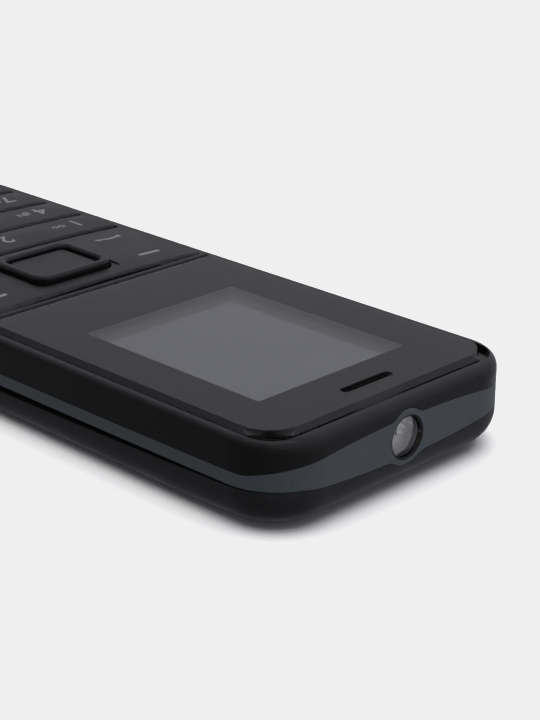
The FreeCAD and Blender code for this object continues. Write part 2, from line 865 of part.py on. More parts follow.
def rear_housing():
    blank = case_form("housing_blank", housing_inset)
    wide = half_width - housing_inset - s.housing_wall
    far = half_length - housing_inset - s.housing_wall
    corner = s.case_corner - housing_inset - s.housing_wall
    top = sketch_on(blank, "XY_Plane", "housing_top", s.rim_height)
    draw_box(top, -half_width, half_width, -half_length, half_length)
    pocket(blank, "housing_top_cut", top, s.rim_height - ledge_bottom)
    well = sketch_on(blank, "XY_Plane", "board_well_plan", ledge_bottom)
    draw_box(well, -wide, wide, -far, far, corner)
    pocket(blank, "board_well", well, ledge_bottom - board_bottom)
    under_keys = sketch_on(blank, "XY_Plane", "key_floor_plan", ledge_bottom)
    draw_box(under_keys, -half_width, half_width, keys_low_y - s.key_gap, plate_high_y + s.key_gap)
    key_floor = s.key_bottom - s.key_travel - s.key_floor_gap
    pocket(blank, "key_floor", under_keys, ledge_bottom - key_floor)
    low = battery_low_y - s.battery_clearance
    high = battery_high_y + s.battery_clearance
    half = s.battery_width / 2 + s.battery_clearance
    bay = sketch_on(blank, "XY_Plane", "battery_bay_plan", bay_ceiling)
    draw_box(bay, -half, half, low, high, s.battery_corner)
    pocket(blank, "battery_bay", bay, bay_ceiling * 2)
    for name, low, length in (
        ("top_pocket", top_pocket_low_y, s.top_pocket_length),
        ("end_pocket", end_pocket_low_y, s.end_pocket_length),
    ):
        plan = sketch_on(blank, "XY_Plane", name + "_plan", bay_ceiling)
        draw_box(plan, -s.pocket_half_width, s.pocket_half_width, low, low + length, s.battery_corner)
        pocket(blank, name, plan, bay_ceiling * 2)
    cards = sketch_on(blank, "XY_Plane", "card_window_plan", board_bottom)
    side = s.card_window_half_width
    low = card_window_low_y
    draw_box(cards, -side, side, low, low + s.card_window_length, s.battery_corner)
    pocket(blank, "card_window", cards, board_bottom * 2)
    contacts = sketch_on(blank, "XY_Plane", "contact_window_plan", board_bottom)
    half = s.connector_width / 2 + s.battery_clearance
    high = card_window_low_y + s.battery_clearance
    low = battery_high_y
    draw_box(contacts, s.connector_x - half, s.connector_x + half, low, high)
    pocket(blank, "contact_window", contacts, board_bottom * 2)
    can = sketch_on(blank, "XY_Plane", "shield_window_plan", board_bottom)
    half = s.shield_width / 2 + s.battery_clearance
    low = end_pocket_low_y + s.battery_clearance
    draw_box(can, s.shield_x - half, s.shield_x + half, low, low + s.shield_length + s.battery_clearance * 2)
    pocket(blank, "shield_window", can, board_bottom * 2)
    room = s.torch_lens_radius + s.battery_clearance
    reach = half_length - board_high_y
    cradle = cylinder("reflector_room", room, reach, ALONG_Y, None, board_high_y, s.torch_height)
    drop_in = block(
        "reflector_drop_in", None, board_high_y, s.torch_height, room * 2, reach, ledge_bottom - bay_ceiling
    )
    tools = [cradle, drop_in]
    for name, middle, height, width, thickness, depth in (
        ("usb_room", s.usb_x, usb_height, s.usb_width, s.usb_thickness, s.usb_depth),
        ("jack_room", s.jack_x, jack_height, s.jack_width, s.jack_thickness, jack_depth),
    ):
        room = new_body(name)
        back = half_length - s.socket_inset - depth - s.socket_gap
        plan = sketch_on(room, "XZ_Plane", name + "_plan", back)
        side = width / 2 + s.socket_gap
        rise = thickness / 2 + s.socket_gap
        draw_box(plan, middle - side, middle + side, height - rise, height + rise)
        pad(room, name + "_pad", plan, depth * 2)
        tools.append(room)
    for number, (across, along) in enumerate(screw_places()):
        hole = s.screw_radius + s.screw_clearance
        tools.append(cylinder("hole_%d" % number, hole, s.rim_height, ALONG_Z, across, along, None))
        shelf = board_bottom - s.screw_shelf
        head = s.screw_head_radius + s.screw_clearance
        tools.append(cylinder("head_%d" % number, head, shelf, ALONG_Z, across, along, None))
    return cut("rear_housing", blank, *tools)


# Display lens with its bevel, the flat of the lens and its glue


def display_lens():
    body = new_body("display_lens")
    side = lens_half_width
    cut_outline = (side, lens_low_y, lens_high_y, s.lens_low_corner, s.lens_corner_cut, False)
    edge = sketch_on(body, "XY_Plane", "lens_edge", lens_bottom)
    corners_outline(edge, *cut_outline)
    pad(body, "lens_slab", edge, s.lens_thickness - s.lens_bevel)
    foot = sketch_on(body, "XY_Plane", "lens_bevel_foot", s.lens_top - s.lens_bevel)
    corners_outline(foot, *cut_outline)
    flat = sketch_on(body, "XY_Plane", "lens_flat", s.lens_top)
    bevel = s.lens_bevel
    corners_outline(
        flat, side - bevel, lens_low_y + s.lens_low_bevel, lens_high_y - bevel, s.lens_low_corner,
        s.lens_flat_corner,
    )
    loft = body.newObject("PartDesign::AdditiveLoft", "lens_bevel_loft")
    loft.Profile = foot
    loft.Sections = [flat]
    loft.Ruled = True
    doc.recompute()
    ear = sketch_on(body, "XY_Plane", "lens_ear_slot", s.lens_top)
    half = s.ear_slot_length / 2
    tall = s.ear_slot_width / 2
    draw_box(ear, -half, half, ear_y - tall, ear_y + tall, tall * ALMOST_ROUND)
    pocket(body, "lens_ear_cut", ear, s.lens_thickness)
    return body


def lens_adhesive():
    body = new_body("lens_adhesive")
    plan = sketch_on(body, "XY_Plane", "glue_plan", lens_floor)
    inset = s.lens_bevel
    wide = lens_half_width - inset
    low = lens_low_y + inset
    high = lens_high_y - inset
    draw_box(plan, -wide, wide, low, high, s.lens_corner_cut)
    pad(body, "glue_pad", plan, s.lens_glue)
    inside = sketch_on(body, "XY_Plane", "glue_opening", lens_bottom)
    side = s.window_width / 2 + s.lens_glue_width
    margin = s.lens_glue_width
    draw_box(inside, -side, side, window_low_y - margin, window_low_y + s.window_length + margin, margin)
    pocket(body, "glue_cut", inside, s.lens_glue)
    ear = sketch_on(body, "XY_Plane", "glue_ear", lens_bottom)
    half = s.ear_slot_length / 2 + s.ear_mesh_margin
    tall = s.ear_slot_width / 2 + s.ear_mesh_margin
    draw_box(ear, -half, half, ear_y - tall, ear_y + tall)
    pocket(body, "glue_ear_cut", ear, s.lens_glue)
    return body


def display_module():
    """The display glass on its lit frame, and the flat cable that folds over the frame's end."""
    panel = block(
        "lcd_panel", None, panel_low_y, panel_bottom, s.panel_width, s.panel_length, s.panel_thickness
    )
    frame = block(
        "lcd_backlight_frame", None, frame_low_y, board_top, s.frame_width, s.frame_length, frame_height
    )
    flex = new_body("lcd_flex")
    side = sketch_on(flex, "YZ_Plane", "flex_path")
    thick = s.flex_thickness
    outer = frame_low_y - thick
    foot = frame_low_y - s.flex_foot
    points = [
        (panel_low_y - thick, panel_bottom),
        (panel_low_y - thick, panel_bottom + thick),
        (outer - thick, panel_bottom + thick),
        (outer - thick, board_top + thick),
        (foot, board_top + thick),
        (foot, board_top),
        (outer, board_top),
        (outer, panel_bottom),
    ]
    draw(side, points)
    pad(flex, "flex_pad", side, s.flex_width, symmetric=True)
    return [panel, frame, flex]


# Keys. Each has a flange that the front shell holds down, and a crowned top

CROWN_SWEEP = 12.0


def crown(body, name, half, top, bow, middle=0.0):
    """Cut a key's top to a large arc each way, round its long edges and chamfer its two ends."""
    deep = s.key_crown_radius
    section = sketch_on(body, "YZ_Plane", name + "_section")
    section.setExpression("AttachmentOffset.Base.y", (top - deep).text)
    turn = s.key_edge_round
    reach = half - turn
    edge = deep - bow + root(bow * bow - reach * reach)
    high = deep + s.case_wall
    past = half + s.row_gap / 2
    points = [
        (-past + middle, edge - turn),
        (-half + middle, edge - turn),
        (-reach + middle, edge),
        (reach + middle, edge),
        (half + middle, edge - turn),
        (past + middle, edge - turn),
        (past + middle, high),
        (-past + middle, high),
    ]
    draw(section, points, {1: (turn, False), 2: (bow, False), 3: (turn, False)})
    groove = body.newObject("PartDesign::Groove", name)
    groove.Profile = section
    groove.ReferenceAxis = (section, ["H_Axis"])
    groove.Midplane = True
    groove.Angle = CROWN_SWEEP
    ends = sketch_on(body, "XZ_Plane", name + "_ends")
    level = top - deep + root(deep * deep - key_half_width * key_half_width)
    for across in (-1, 1):
        corners = [
            ((key_half_width + turn) * across, level - turn * 2),
            ((key_half_width + turn) * across, level + turn * 2),
            ((key_half_width - turn * 3) * across, level + turn * 2),
        ]
        draw(ends, corners)
    pocket(body, name + "_end_cut", ends, s.case_length * 2, symmetric=True)


def key_row(number):
    name = "key_row_%d" % (number + 1)
    body = new_body(name)
    half = s.row_length / 2
    plan = sketch_on(body, "XY_Plane", name + "_plan")
    draw_box(plan, -key_half_width, key_half_width, -half, half, s.key_corner)
    tall = s.key_top - s.key_bottom
    pad(body, name + "_bar", plan, tall)
    wide = key_half_width + s.key_flange_reach
    flange = sketch_on(body, "XY_Plane", name + "_flange_plan")
    draw_box(flange, -wide, wide, -half + s.key_corner, half - s.key_corner)
    pad(body, name + "_flange", flange, s.key_flange_height)
    crown(body, name + "_crown", half, tall, s.row_crown_radius)
    place(body, None, first_row_y - s.row_pitch * number, s.key_bottom)
    return body


def function_plate():
    body = new_body("function_plate")
    low = plate_low_y
    plan = sketch_on(body, "XY_Plane", "plate_plan", s.key_bottom)
    draw_box(plan, -key_half_width, key_half_width, low, plate_high_y, s.key_corner)
    tall = s.key_top - s.key_bottom
    pad(body, "plate_slab", plan, tall)
    wide = key_half_width + s.key_flange_reach
    flange = sketch_on(body, "XY_Plane", "plate_flange_plan", s.key_bottom)
    draw_box(flange, -wide, wide, low + s.key_corner, plate_high_y - s.key_corner)
    pad(body, "plate_flange", flange, s.key_flange_height)
    half = s.plate_length / 2
    crown(body, "plate_crown", half, s.key_top, s.plate_crown_radius, low + half)
    hole = sketch_on(body, "XY_Plane", "plate_hole_plan", s.ring_top)
    side = s.ring_width / 2 + s.ring_clearance
    rise = s.ring_length / 2 + s.ring_clearance
    draw_box(hole, -side, side, ring_y - rise, ring_y + rise, s.plate_hole_corner)
    pocket(body, "plate_hole", hole, s.ring_top)
    return body


def nav_ring():
    """The ring rocks on two round ribs that stand on the mat, under its left and right sides."""
    body = new_body("nav_ring")
    plan = sketch_on(body, "XY_Plane", "ring_plan", s.key_bottom)
    side = s.ring_width / 2
    rise = s.ring_length / 2
    draw_box(plan, -side, side, ring_y - rise, ring_y + rise, s.ring_corner)
    pad(body, "ring_slab", plan, s.ring_top - s.key_bottom)
    hole = sketch_on(body, "XY_Plane", "ring_hole_plan", s.ring_top)
    side = side - s.ring_rim
    rise = rise - s.ring_rim
    draw_box(hole, -side, side, ring_y - rise, ring_y + rise, s.ring_corner - s.ring_rim)
    pocket(body, "ring_hole", hole, s.ring_top)
    level = float(s.ring_top) - 0.01
    fillet(body, "ring_round", s.ring_round, lambda middle, box: box.ZMin > level)
    left_side = -(s.ring_width / 2)
    for name, start in (("left_rib", left_side), ("right_rib", -left_side - s.ring_rim)):
        rib = sketch_on(body, "YZ_Plane", name + "_plan", start)
        draw_circle(rib, ring_y, s.key_bottom, s.ring_rib_radius)
        pad(body, name, rib, s.ring_rim)
    return body


def ok_key():
    inset = s.ring_rim + s.ok_clearance
    width = s.ring_width - inset * 2
    length = s.ring_length - inset * 2
    body = block(
        "ok_key", None, ring_y - length / 2, s.key_bottom, width, length, s.ok_top - s.key_bottom,
        s.ring_corner - inset,
    )
    level = float(s.ok_top - s.key_bottom) - 0.01
    fillet(body, "ok_round", s.key_edge_round, lambda middle, box: box.ZMin > level)
    return body


def keypad_mat():
    """Silicone mat: a web under the keys, a skirt that stands on the dome sheet and one nib a key."""
    body = new_body("keypad_mat")
    half = mat_half_width
    plan = sketch_on(body, "XY_Plane", "mat_plan", s.mat_top - s.mat_web)
    draw_box(plan, -half, half, mat_low_y, mat_high_y)
    pad(body, "mat_web_pad", plan, s.mat_web)
    for across in (-1, 1):
        skirt = sketch_on(body, "XY_Plane", "skirt_plan_%d" % (across + 1), sheet_top)
        edges = sorted((half * across, (half - s.mat_skirt) * across), key=float)
        draw_box(skirt, edges[0], edges[1], mat_low_y, mat_high_y)
        pad(body, "skirt_%d" % (across + 1), skirt, s.mat_top - s.mat_web - sheet_top)
    nibs = sketch_on(body, "XY_Plane", "nib_plan", sheet_top + s.nib_clearance)
    for line in range(4):
        for column in (-1, 0, 1):
            draw_circle(nibs, s.key_column_pitch * column, first_row_y - s.row_pitch * line, s.nib_radius)
    for across, along in ((-1, 1), (-1, -1), (1, 1), (1, -1)):
        draw_circle(nibs, s.key_column_pitch * across, ring_y + s.plate_nib_shift * along, s.nib_radius)
    for across, along in ((0, 0), (-1, 0), (1, 0), (0, 1), (0, -1)):
        draw_circle(nibs, s.ring_nib_across * across, ring_y + s.ring_nib_along * along, s.ring_nib_radius)
    pad(body, "nibs", nibs, s.mat_top - s.mat_web / 2 - sheet_top - s.nib_clearance)
    return body


def dome_sheet():
    low = mat_low_y
    width = mat_half_width * 2
    sheet_body = block("dome_sheet", None, low, board_top, width, mat_high_y - low, s.dome_sheet_thickness)
    notch = sketch_on(sheet_body, "XY_Plane", "jack_notch", s.dome_sheet_thickness)
    side = s.jack_width / 2 + s.socket_gap * 2
    depth = jack_depth + s.socket_inset - half_length - low + s.socket_gap * 2
    draw_box(notch, s.jack_x - side, s.jack_x + side, -s.case_wall, depth)
    pocket(sheet_body, "jack_notch_cut", notch, s.dome_sheet_thickness)
    return sheet_body


# Main board and what is soldered to it


def main_board():
    half = board_half_width
    body = new_body("main_board")
    plan = sketch_on(body, "XY_Plane", "board_plan", board_bottom)
    draw_box(plan, -half, half, board_low_y, board_high_y, s.board_corner)
    pad(body, "board_pad", plan, s.board_thickness)
    holes = sketch_on(body, "XY_Plane", "board_holes", board_top)
    for across, along in screw_places():
        draw_circle(holes, across, along, s.screw_radius + s.screw_clearance)
    pocket(body, "board_hole_cut", holes, s.board_thickness)
    for name, middle, width, depth in (
        ("usb_notch", s.usb_x, s.usb_width, s.usb_depth),
        ("jack_cutout", s.jack_x, s.jack_width, jack_depth),
    ):
        notch = sketch_on(body, "XY_Plane", name + "_plan", board_top)
        side = width / 2 + s.socket_gap
        high = -half_length + s.socket_inset + depth + s.socket_gap
        draw_box(notch, middle - side, middle + side, -half_length, high)
        pocket(body, name, notch, s.board_thickness)
    return body


def micro_usb_socket():
    """A drawn metal shell, open at the mouth, round a contact tongue."""
    body = new_body("micro_usb_socket")
    front = half_length - s.socket_inset - s.usb_depth
    outline = sketch_on(body, "XZ_Plane", "usb_outline", front)
    half = s.usb_width / 2
    rise = s.usb_thickness / 2
    corner = s.usb_shell * 3
    draw_box(outline, s.usb_x - half, s.usb_x + half, usb_height - rise, usb_height + rise, corner)
    pad(body, "usb_shell_pad", outline, s.usb_depth)
    mouth = sketch_on(body, "XZ_Plane", "usb_mouth_plan", half_length - s.socket_inset)
    half = half - s.usb_shell
    rise = rise - s.usb_shell
    draw_box(
        mouth, s.usb_x - half, s.usb_x + half, usb_height - rise, usb_height + rise,
        corner - s.usb_shell,
    )
    pocket(body, "usb_mouth_cut", mouth, s.usb_depth - s.usb_shell)
    tongue = sketch_on(body, "XZ_Plane", "usb_tongue_plan", front)
    half = s.usb_tongue_width / 2
    draw_box(tongue, s.usb_x - half, s.usb_x + half, usb_height, usb_height + s.usb_shell * 2)
    pad(body, "usb_tongue", tongue, s.usb_tongue_length)
    return body


def headphone_jack():
    body = new_body("headphone_jack")
    front = half_length - s.socket_inset - jack_depth
    outline = sketch_on(body, "XZ_Plane", "jack_outline", front)
    half = s.jack_width / 2
    rise = s.jack_thickness / 2
    draw_box(outline, s.jack_x - half, s.jack_x + half, jack_height - rise, jack_height + rise)
    block_depth = jack_depth + s.socket_inset - housing_inset
    pad(body, "jack_pad", outline, block_depth)
    nose = sketch_on(body, "XZ_Plane", "jack_nose_plan", front)
    draw_circle(nose, s.jack_x, jack_height, s.jack_nose_radius)
    pad(body, "jack_nose", nose, jack_depth)
    mouth = sketch_on(body, "XZ_Plane", "jack_bore_plan", half_length - s.socket_inset)
    draw_circle(mouth, s.jack_x, jack_height, s.jack_bore_radius)
    pocket(body, "jack_bore", mouth, s.jack_bore_depth)
    return body


def microphone_pair():
    """The microphone can in its rubber boot, on the board at the bottom end."""
    half = s.mic_boot_length / 2
    boot = block(
        "microphone_boot", None, mic_y - half, board_top, s.mic_boot_width, s.mic_boot_length,
        s.mic_boot_height,
    )
    hole = sketch_on(boot, "XY_Plane", "mic_hole_plan", s.mic_length)
    draw_circle(hole, 0.0, half, s.mic_radius)
    pocket(boot, "mic_hole", hole, s.mic_length)
    can = cylinder("microphone", s.mic_radius, s.mic_length, ALONG_Z, None, mic_y, board_top)
    return [boot, can]


# Pieces on the back of the board and in the housing's pockets


def card_holder(name, middle, width):
    """A folded metal card cage, open towards the battery."""
    low = card_window_low_y + s.battery_clearance * 2
    bottom = board_bottom - s.holder_thickness
    body = block(name, middle, low, bottom, width, s.holder_length, s.holder_thickness)
    slot = sketch_on(body, "XZ_Plane", name + "_slot")
    half = width / 2 - s.holder_wall
    draw_box(slot, -half, half, s.holder_wall, s.holder_thickness - s.holder_wall)
    pocket(body, name + "_slot_cut", slot, s.holder_length - s.holder_wall)
    return body


def shield_can():
    bottom = board_bottom - s.shield_height
    low = end_pocket_low_y + s.battery_clearance * 2
    body = block("shield_can", s.shield_x, low, bottom, s.shield_width, s.shield_length, s.shield_height)
    inside = sketch_on(body, "XY_Plane", "can_inside", s.shield_height)
    half = s.shield_width / 2 - s.shield_sheet
    draw_box(inside, -half, half, s.shield_sheet, s.shield_length - s.shield_sheet)
    pocket(body, "can_hollow", inside, s.shield_height - s.shield_sheet)
    return body


def speaker_set():
    top = bay_ceiling
    low = speaker_y - s.speaker_length / 2
    corner = s.speaker_corner
    speaker = block(
        "loudspeaker", s.speaker_x, low, top - s.speaker_height, s.speaker_width, s.speaker_length,
        s.speaker_height, corner,
    )
    bottom = top - s.speaker_height - s.speaker_gasket_height
    gasket = block(
        "speaker_gasket", s.speaker_x, low, bottom, s.speaker_width, s.speaker_length,
        s.speaker_gasket_height, corner,
    )
    hole = sketch_on(gasket, "XY_Plane", "gasket_hole", s.speaker_gasket_height)
    wall = s.speaker_gasket_wall
    half = s.speaker_width / 2 - wall
    draw_box(hole, -half, half, wall, s.speaker_length - wall, corner - wall)
    pocket(gasket, "gasket_cut", hole, s.speaker_gasket_height)
    return [speaker, gasket]


def camera_set():
    half = s.camera_size / 2
    base = bay_ceiling - s.camera_base
    camera = block(
        "camera_module", s.camera_x, camera_y - half, base, s.camera_size, s.camera_size, s.camera_base
    )
    barrel = sketch_on(camera, "XY_Plane", "barrel_plan", -s.camera_barrel_height)
    draw_circle(barrel, 0.0, half, s.camera_barrel_radius)
    pad(camera, "barrel", barrel, s.camera_barrel_height)
    window = cylinder(
        "camera_window", s.camera_window_radius, s.camera_window_thickness, ALONG_Z, s.camera_x,
        camera_y, s.camera_window_rise,
    )
    return [camera, window]


def vibration_set():
    axis = bay_ceiling - s.motor_drop
    half = s.motor_boot_length / 2
    motor = cylinder("motor_can", s.motor_radius, s.motor_length, ALONG_X, s.motor_x, motor_y, axis)
    shaft_length = s.motor_length + s.weight_gap + s.weight_length
    shaft = cylinder(
        "motor_shaft", s.motor_shaft_radius, shaft_length, ALONG_X, s.motor_x, motor_y, axis
    )
    whole = join("vibration_motor", motor, shaft)
    start = s.motor_x + (s.motor_length - s.motor_boot_length) / 2
    reach = s.motor_radius + s.motor_boot_wall
    boot = new_body("motor_boot")
    section = sketch_on(boot, "YZ_Plane", "boot_section", start)
    draw_box(section, motor_y - reach, motor_y + reach, axis - reach, axis + reach, s.motor_boot_wall)
    pad(boot, "boot_pad", section, s.motor_boot_length)
    bore = sketch_on(boot, "YZ_Plane", "boot_bore", start)
    draw_circle(bore, motor_y, axis, s.motor_radius)
    pocket(boot, "boot_bore_cut", bore, s.motor_boot_length, upwards=True)
    weight = new_body("vibration_weight")
    begin = s.motor_x + s.motor_length + s.weight_gap
    disc = sketch_on(weight, "YZ_Plane", "weight_disc", begin)
    draw_circle(disc, motor_y, axis, s.weight_radius)
    pad(weight, "weight_pad", disc, s.weight_length)
    half_off = sketch_on(weight, "YZ_Plane", "weight_half", begin)
    reach = s.weight_radius * 2
    draw_box(half_off, motor_y - reach, motor_y + reach, axis, axis + reach)
    pocket(weight, "weight_half_cut", half_off, s.weight_length, upwards=True)
    hub = sketch_on(weight, "YZ_Plane", "weight_hub", begin)
    draw_circle(hub, motor_y, axis, s.weight_hub_radius)
    pad(weight, "hub", hub, s.weight_length)
    shaft_hole = sketch_on(weight, "YZ_Plane", "weight_bore", begin)
    draw_circle(shaft_hole, motor_y, axis, s.motor_shaft_radius + s.shaft_clearance)
    pocket(weight, "weight_bore_cut", shaft_hole, s.weight_length, upwards=True)
    return [whole, boot, weight]


def box_piece(name, centre, low_y, low_z, width, length, height):
    """A plain box centred across X, for a contact that repeats."""
    feature = doc.addObject("Part::Box", name)
    tie(feature, "Length", width)
    tie(feature, "Width", length)
    tie(feature, "Height", height)
    place(feature, centre - width / 2, low_y, low_z)
    return feature


def group(name, shapes):
    """Like pieces that share one node."""
    feature = doc.addObject("Part::Compound", name)
    feature.Links = shapes
    return feature


def battery_set():
    """The cell, its contact pads, and the spring contacts that press on them."""
    cell = block(
        "battery", None, battery_low_y, housing_inset, s.battery_width, s.battery_length,
        s.battery_thickness, s.battery_corner,
    )
    end = battery_high_y
    front = end + s.battery_clearance + s.pad_thickness * 2
    low = board_bottom - s.connector_height
    connector = block(
        "battery_connector", s.connector_x, front, low, s.connector_width, s.connector_length,
        s.connector_height,
    )
    middle = low + s.pad_height / 2 + s.pad_thickness
    pads = []
    blades = []
    for number in (-1, 0, 1):
        across = s.connector_x + s.blade_pitch * number
        pads.append(
            box_piece(
                "pad_%d" % (number + 1), across, end, middle - s.pad_height / 2, s.pad_width,
                s.pad_thickness, s.pad_height,
            )
        )
        blades.append(
            box_piece(
                "blade_%d" % (number + 1), across, front - s.blade_reach, middle - s.blade_height / 2,
                s.blade_width, s.blade_reach, s.blade_height,
            )
        )
    return [cell, connector, group("battery_pads", pads), group("battery_blades", blades)]


def spin(body, name, section):
    """Turn a section about the torch's axis, which is the sketch's own horizontal axis."""
    turn = body.newObject("PartDesign::Revolution", name)
    turn.Profile = section
    turn.ReferenceAxis = (section, ["H_Axis"])
    turn.Angle = 360.0
    place(body, None, None, s.torch_height)


def torch_set():
    """Clear lens, bright cup and light, one behind the other on the torch's axis."""
    radius = s.torch_lens_radius
    lens = new_body("torch_lens")
    section = sketch_on(lens, "YZ_Plane", "torch_lens_section")
    edge = half_length - s.torch_dome_rise
    bend = (radius * radius + s.torch_dome_rise * s.torch_dome_rise) / (s.torch_dome_rise * 2)
    points = [(torch_back, 0.0), (half_length, 0.0), (edge, radius), (torch_back, radius)]
    draw(section, points, {1: (bend, True)})
    spin(lens, "torch_lens_turn", section)
    cup = new_body("torch_reflector")
    section = sketch_on(cup, "YZ_Plane", "reflector_section")
    wall = s.reflector_wall
    hole = s.led_radius + s.torch_gap
    points = [
        (reflector_back, hole),
        (torch_back, radius - wall),
        (torch_back, radius),
        (reflector_back, hole + wall * 2),
    ]
    bow = s.reflector_bow
    draw(section, points, {0: (bow, False), 2: (bow + wall, True)})
    spin(cup, "reflector_turn", section)
    light = new_body("torch_led")
    section = sketch_on(light, "YZ_Plane", "led_section")
    start = board_high_y + s.torch_gap
    base = reflector_back - s.torch_gap
    tip = base + s.led_length
    led = s.led_radius
    points = [
        (start, 0.0),
        (tip, 0.0),
        (tip - led, led),
        (base, led),
        (base, s.led_base_radius),
        (start, s.led_base_radius),
    ]
    draw(section, points, {1: (led, True)})
    spin(light, "led_turn", section)
    return [lens, cup, light]


def housing_screws():
    """Four like screws, up from the housing through the board into the shell's bosses."""
    screws = []
    head_top = board_bottom - s.screw_shelf
    for number, (across, along) in enumerate(screw_places()):
        low = head_top - s.screw_head_height
        head = cylinder(
            "screw_head_%d" % number, s.screw_head_radius, s.screw_head_height, ALONG_Z, across, along, low
        )
        length = ledge_bottom - head_top - s.screw_clearance
        shank = cylinder("screw_shank_%d" % number, s.screw_radius, length, ALONG_Z, across, along, head_top)
        screws.append(join("screw_%d" % number, head, shank))
    return group("housing_screws", screws)


def earpiece_set():
    tall = s.ear_slot_width / 2 + s.ear_mesh_margin
    width = s.ear_slot_length + s.ear_mesh_margin * 2
    mesh = block("earpiece_mesh", None, ear_y - tall, lens_floor, width, tall * 2, s.lens_glue)
    receiver = block(
        "earpiece_receiver", None, ear_y - s.receiver_width / 2, ledge_bottom - s.receiver_height,
        s.receiver_length, s.receiver_width, s.receiver_height, s.receiver_corner,
    )
    return [mesh, receiver]


def antenna_flex():
    return block(
        "antenna_flex", s.antenna_x, end_pocket_low_y, s.antenna_rise, s.antenna_width,
        s.antenna_thickness, s.antenna_height,
    )


pieces = [above, band, lid, rear_housing(), display_lens(), lens_adhesive()]
pieces += earpiece_set()
pieces += display_module()
pieces += [main_board(), dome_sheet(), keypad_mat(), function_plate(), nav_ring(), ok_key()]
pieces += [key_row(number) for number in range(4)]
pieces += battery_set()
pieces += torch_set()
pieces += [micro_usb_socket(), headphone_jack()]
pieces += microphone_pair()
pieces += [
    card_holder("sim_holder", s.sim_x, s.sim_width),
    card_holder("memory_card_slot", s.memory_x, s.memory_width),
    shield_can(),
    antenna_flex(),
    housing_screws(),
]
pieces += speaker_set()
pieces += camera_set()
pieces += vibration_set()
doc.recompute()

faults = []
for thing in doc.Objects:
    if "Invalid" in thing.State or "Error" in thing.State:
        faults.append("%s is %s" % (thing.Name, thing.State))
for piece in pieces:
    if piece.Shape.isNull() or not piece.Shape.isValid() or not piece.Shape.Solids:
        faults.append("%s has no valid solid" % piece.Label)
if faults:
    raise RuntimeError("; ".join(faults))

os.makedirs("parts", exist_ok=True)
for piece in pieces:
    piece.Shape.exportStep("parts/%s.step" % piece.Label)
    bounds = piece.Shape.optimalBoundingBox(True, False)
    print(
        "%-22s %d solid %9.2f mm3  X %.2f %.2f  Y %.2f %.2f  Z %.2f %.2f"
        % (
            piece.Label, len(piece.Shape.Solids), piece.Shape.Volume, bounds.XMin, bounds.XMax,
            bounds.YMin, bounds.YMax, bounds.ZMin, bounds.ZMax,
        )
    )
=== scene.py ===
import json
import math

import bmesh
import bpy
from bpy.props import FloatProperty, FloatVectorProperty, PointerProperty
from mathutils import Matrix, Vector
from mathutils.bvhtree import BVHTree


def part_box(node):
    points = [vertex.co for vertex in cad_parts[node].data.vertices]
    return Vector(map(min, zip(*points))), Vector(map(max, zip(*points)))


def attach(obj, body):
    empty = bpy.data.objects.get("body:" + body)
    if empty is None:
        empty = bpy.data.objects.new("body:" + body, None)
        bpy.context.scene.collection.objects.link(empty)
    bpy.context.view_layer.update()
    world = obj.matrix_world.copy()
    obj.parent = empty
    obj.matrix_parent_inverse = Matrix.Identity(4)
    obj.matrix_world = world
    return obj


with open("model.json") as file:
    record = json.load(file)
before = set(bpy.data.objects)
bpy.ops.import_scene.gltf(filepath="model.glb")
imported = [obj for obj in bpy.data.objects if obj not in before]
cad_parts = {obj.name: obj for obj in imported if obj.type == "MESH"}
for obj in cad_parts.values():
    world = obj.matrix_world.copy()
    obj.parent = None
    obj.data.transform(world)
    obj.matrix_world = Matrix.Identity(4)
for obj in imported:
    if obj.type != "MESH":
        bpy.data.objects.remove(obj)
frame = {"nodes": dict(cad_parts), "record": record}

bl_info = {
    "name": "Bar phone dresser",
    "version": (1, 0, 0),
    "blender": (4, 5, 0),
    "location": "3D View > Sidebar > Phone",
    "description": "Finishes, legends and small trim for a bar phone with a torch",
    "category": "Object",
}

# Lengths are metres, as in the frame. X is the phone's right, Y the torch end, Z out of the screen

MM = 0.001
UPRIGHT = Vector((0, 0, 1))
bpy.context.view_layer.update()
SHELL_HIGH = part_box("front_shell")[1]
LENS_LOW, LENS_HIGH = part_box("display_lens")
MESH_LOW, MESH_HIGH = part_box("earpiece_mesh")
PLATE_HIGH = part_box("function_plate")[1]
RING_LOW, RING_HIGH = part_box("nav_ring")
TORCH_LOW, TORCH_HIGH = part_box("torch_lens")
CUP_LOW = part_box("torch_reflector")[0]
LED_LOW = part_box("torch_led")[0]
WINDOW_LOW, WINDOW_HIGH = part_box("camera_window")
CAMERA_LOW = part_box("camera_module")[0]
SPEAKER_LOW, SPEAKER_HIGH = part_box("loudspeaker")
GASKET_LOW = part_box("speaker_gasket")[0]
CELL_LOW, CELL_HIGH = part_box("battery")
USB_LOW, USB_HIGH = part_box("micro_usb_socket")
JACK_LOW, JACK_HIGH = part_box("headphone_jack")
ROWS = ["key_row_1", "key_row_2", "key_row_3", "key_row_4"]


def in_mm(*points):
    """Points given in millimetres."""
    return [(across * MM, along * MM) for across, along in points]


# Fixed sizes of the small trim. A sink is how deep a piece stands in what carries it, and a half
# is half a width and half a length

BAR_END_GAP = 0.3 * MM
BAR_SHIFT = 0.2 * MM
BAR_SINK = 0.1 * MM
BAR_CORNER_SHARE = 0.95
BAR_BEVEL_SHARE = 0.7
EAR_CORNER_SHARE = 0.9
LIP_THICKNESS = 1.2 * MM
LIP_BEVEL = 0.08 * MM

DASH_HALF = (2.15 * MM, 0.36 * MM)
DASH_CORNER = 0.3 * MM
DASH_PLACE = (15.2 * MM, -5.25 * MM)
HANDSET_REACH = 2.5 * MM
HANDSET_BOW = 0.55 * MM
HANDSET_GRIP = 0.62
HANDSET_HALF = 0.28 * MM
HANDSET_SWELL = 0.22 * MM
HANDSET_PLACE = (15.4 * MM, -15.0 * MM)

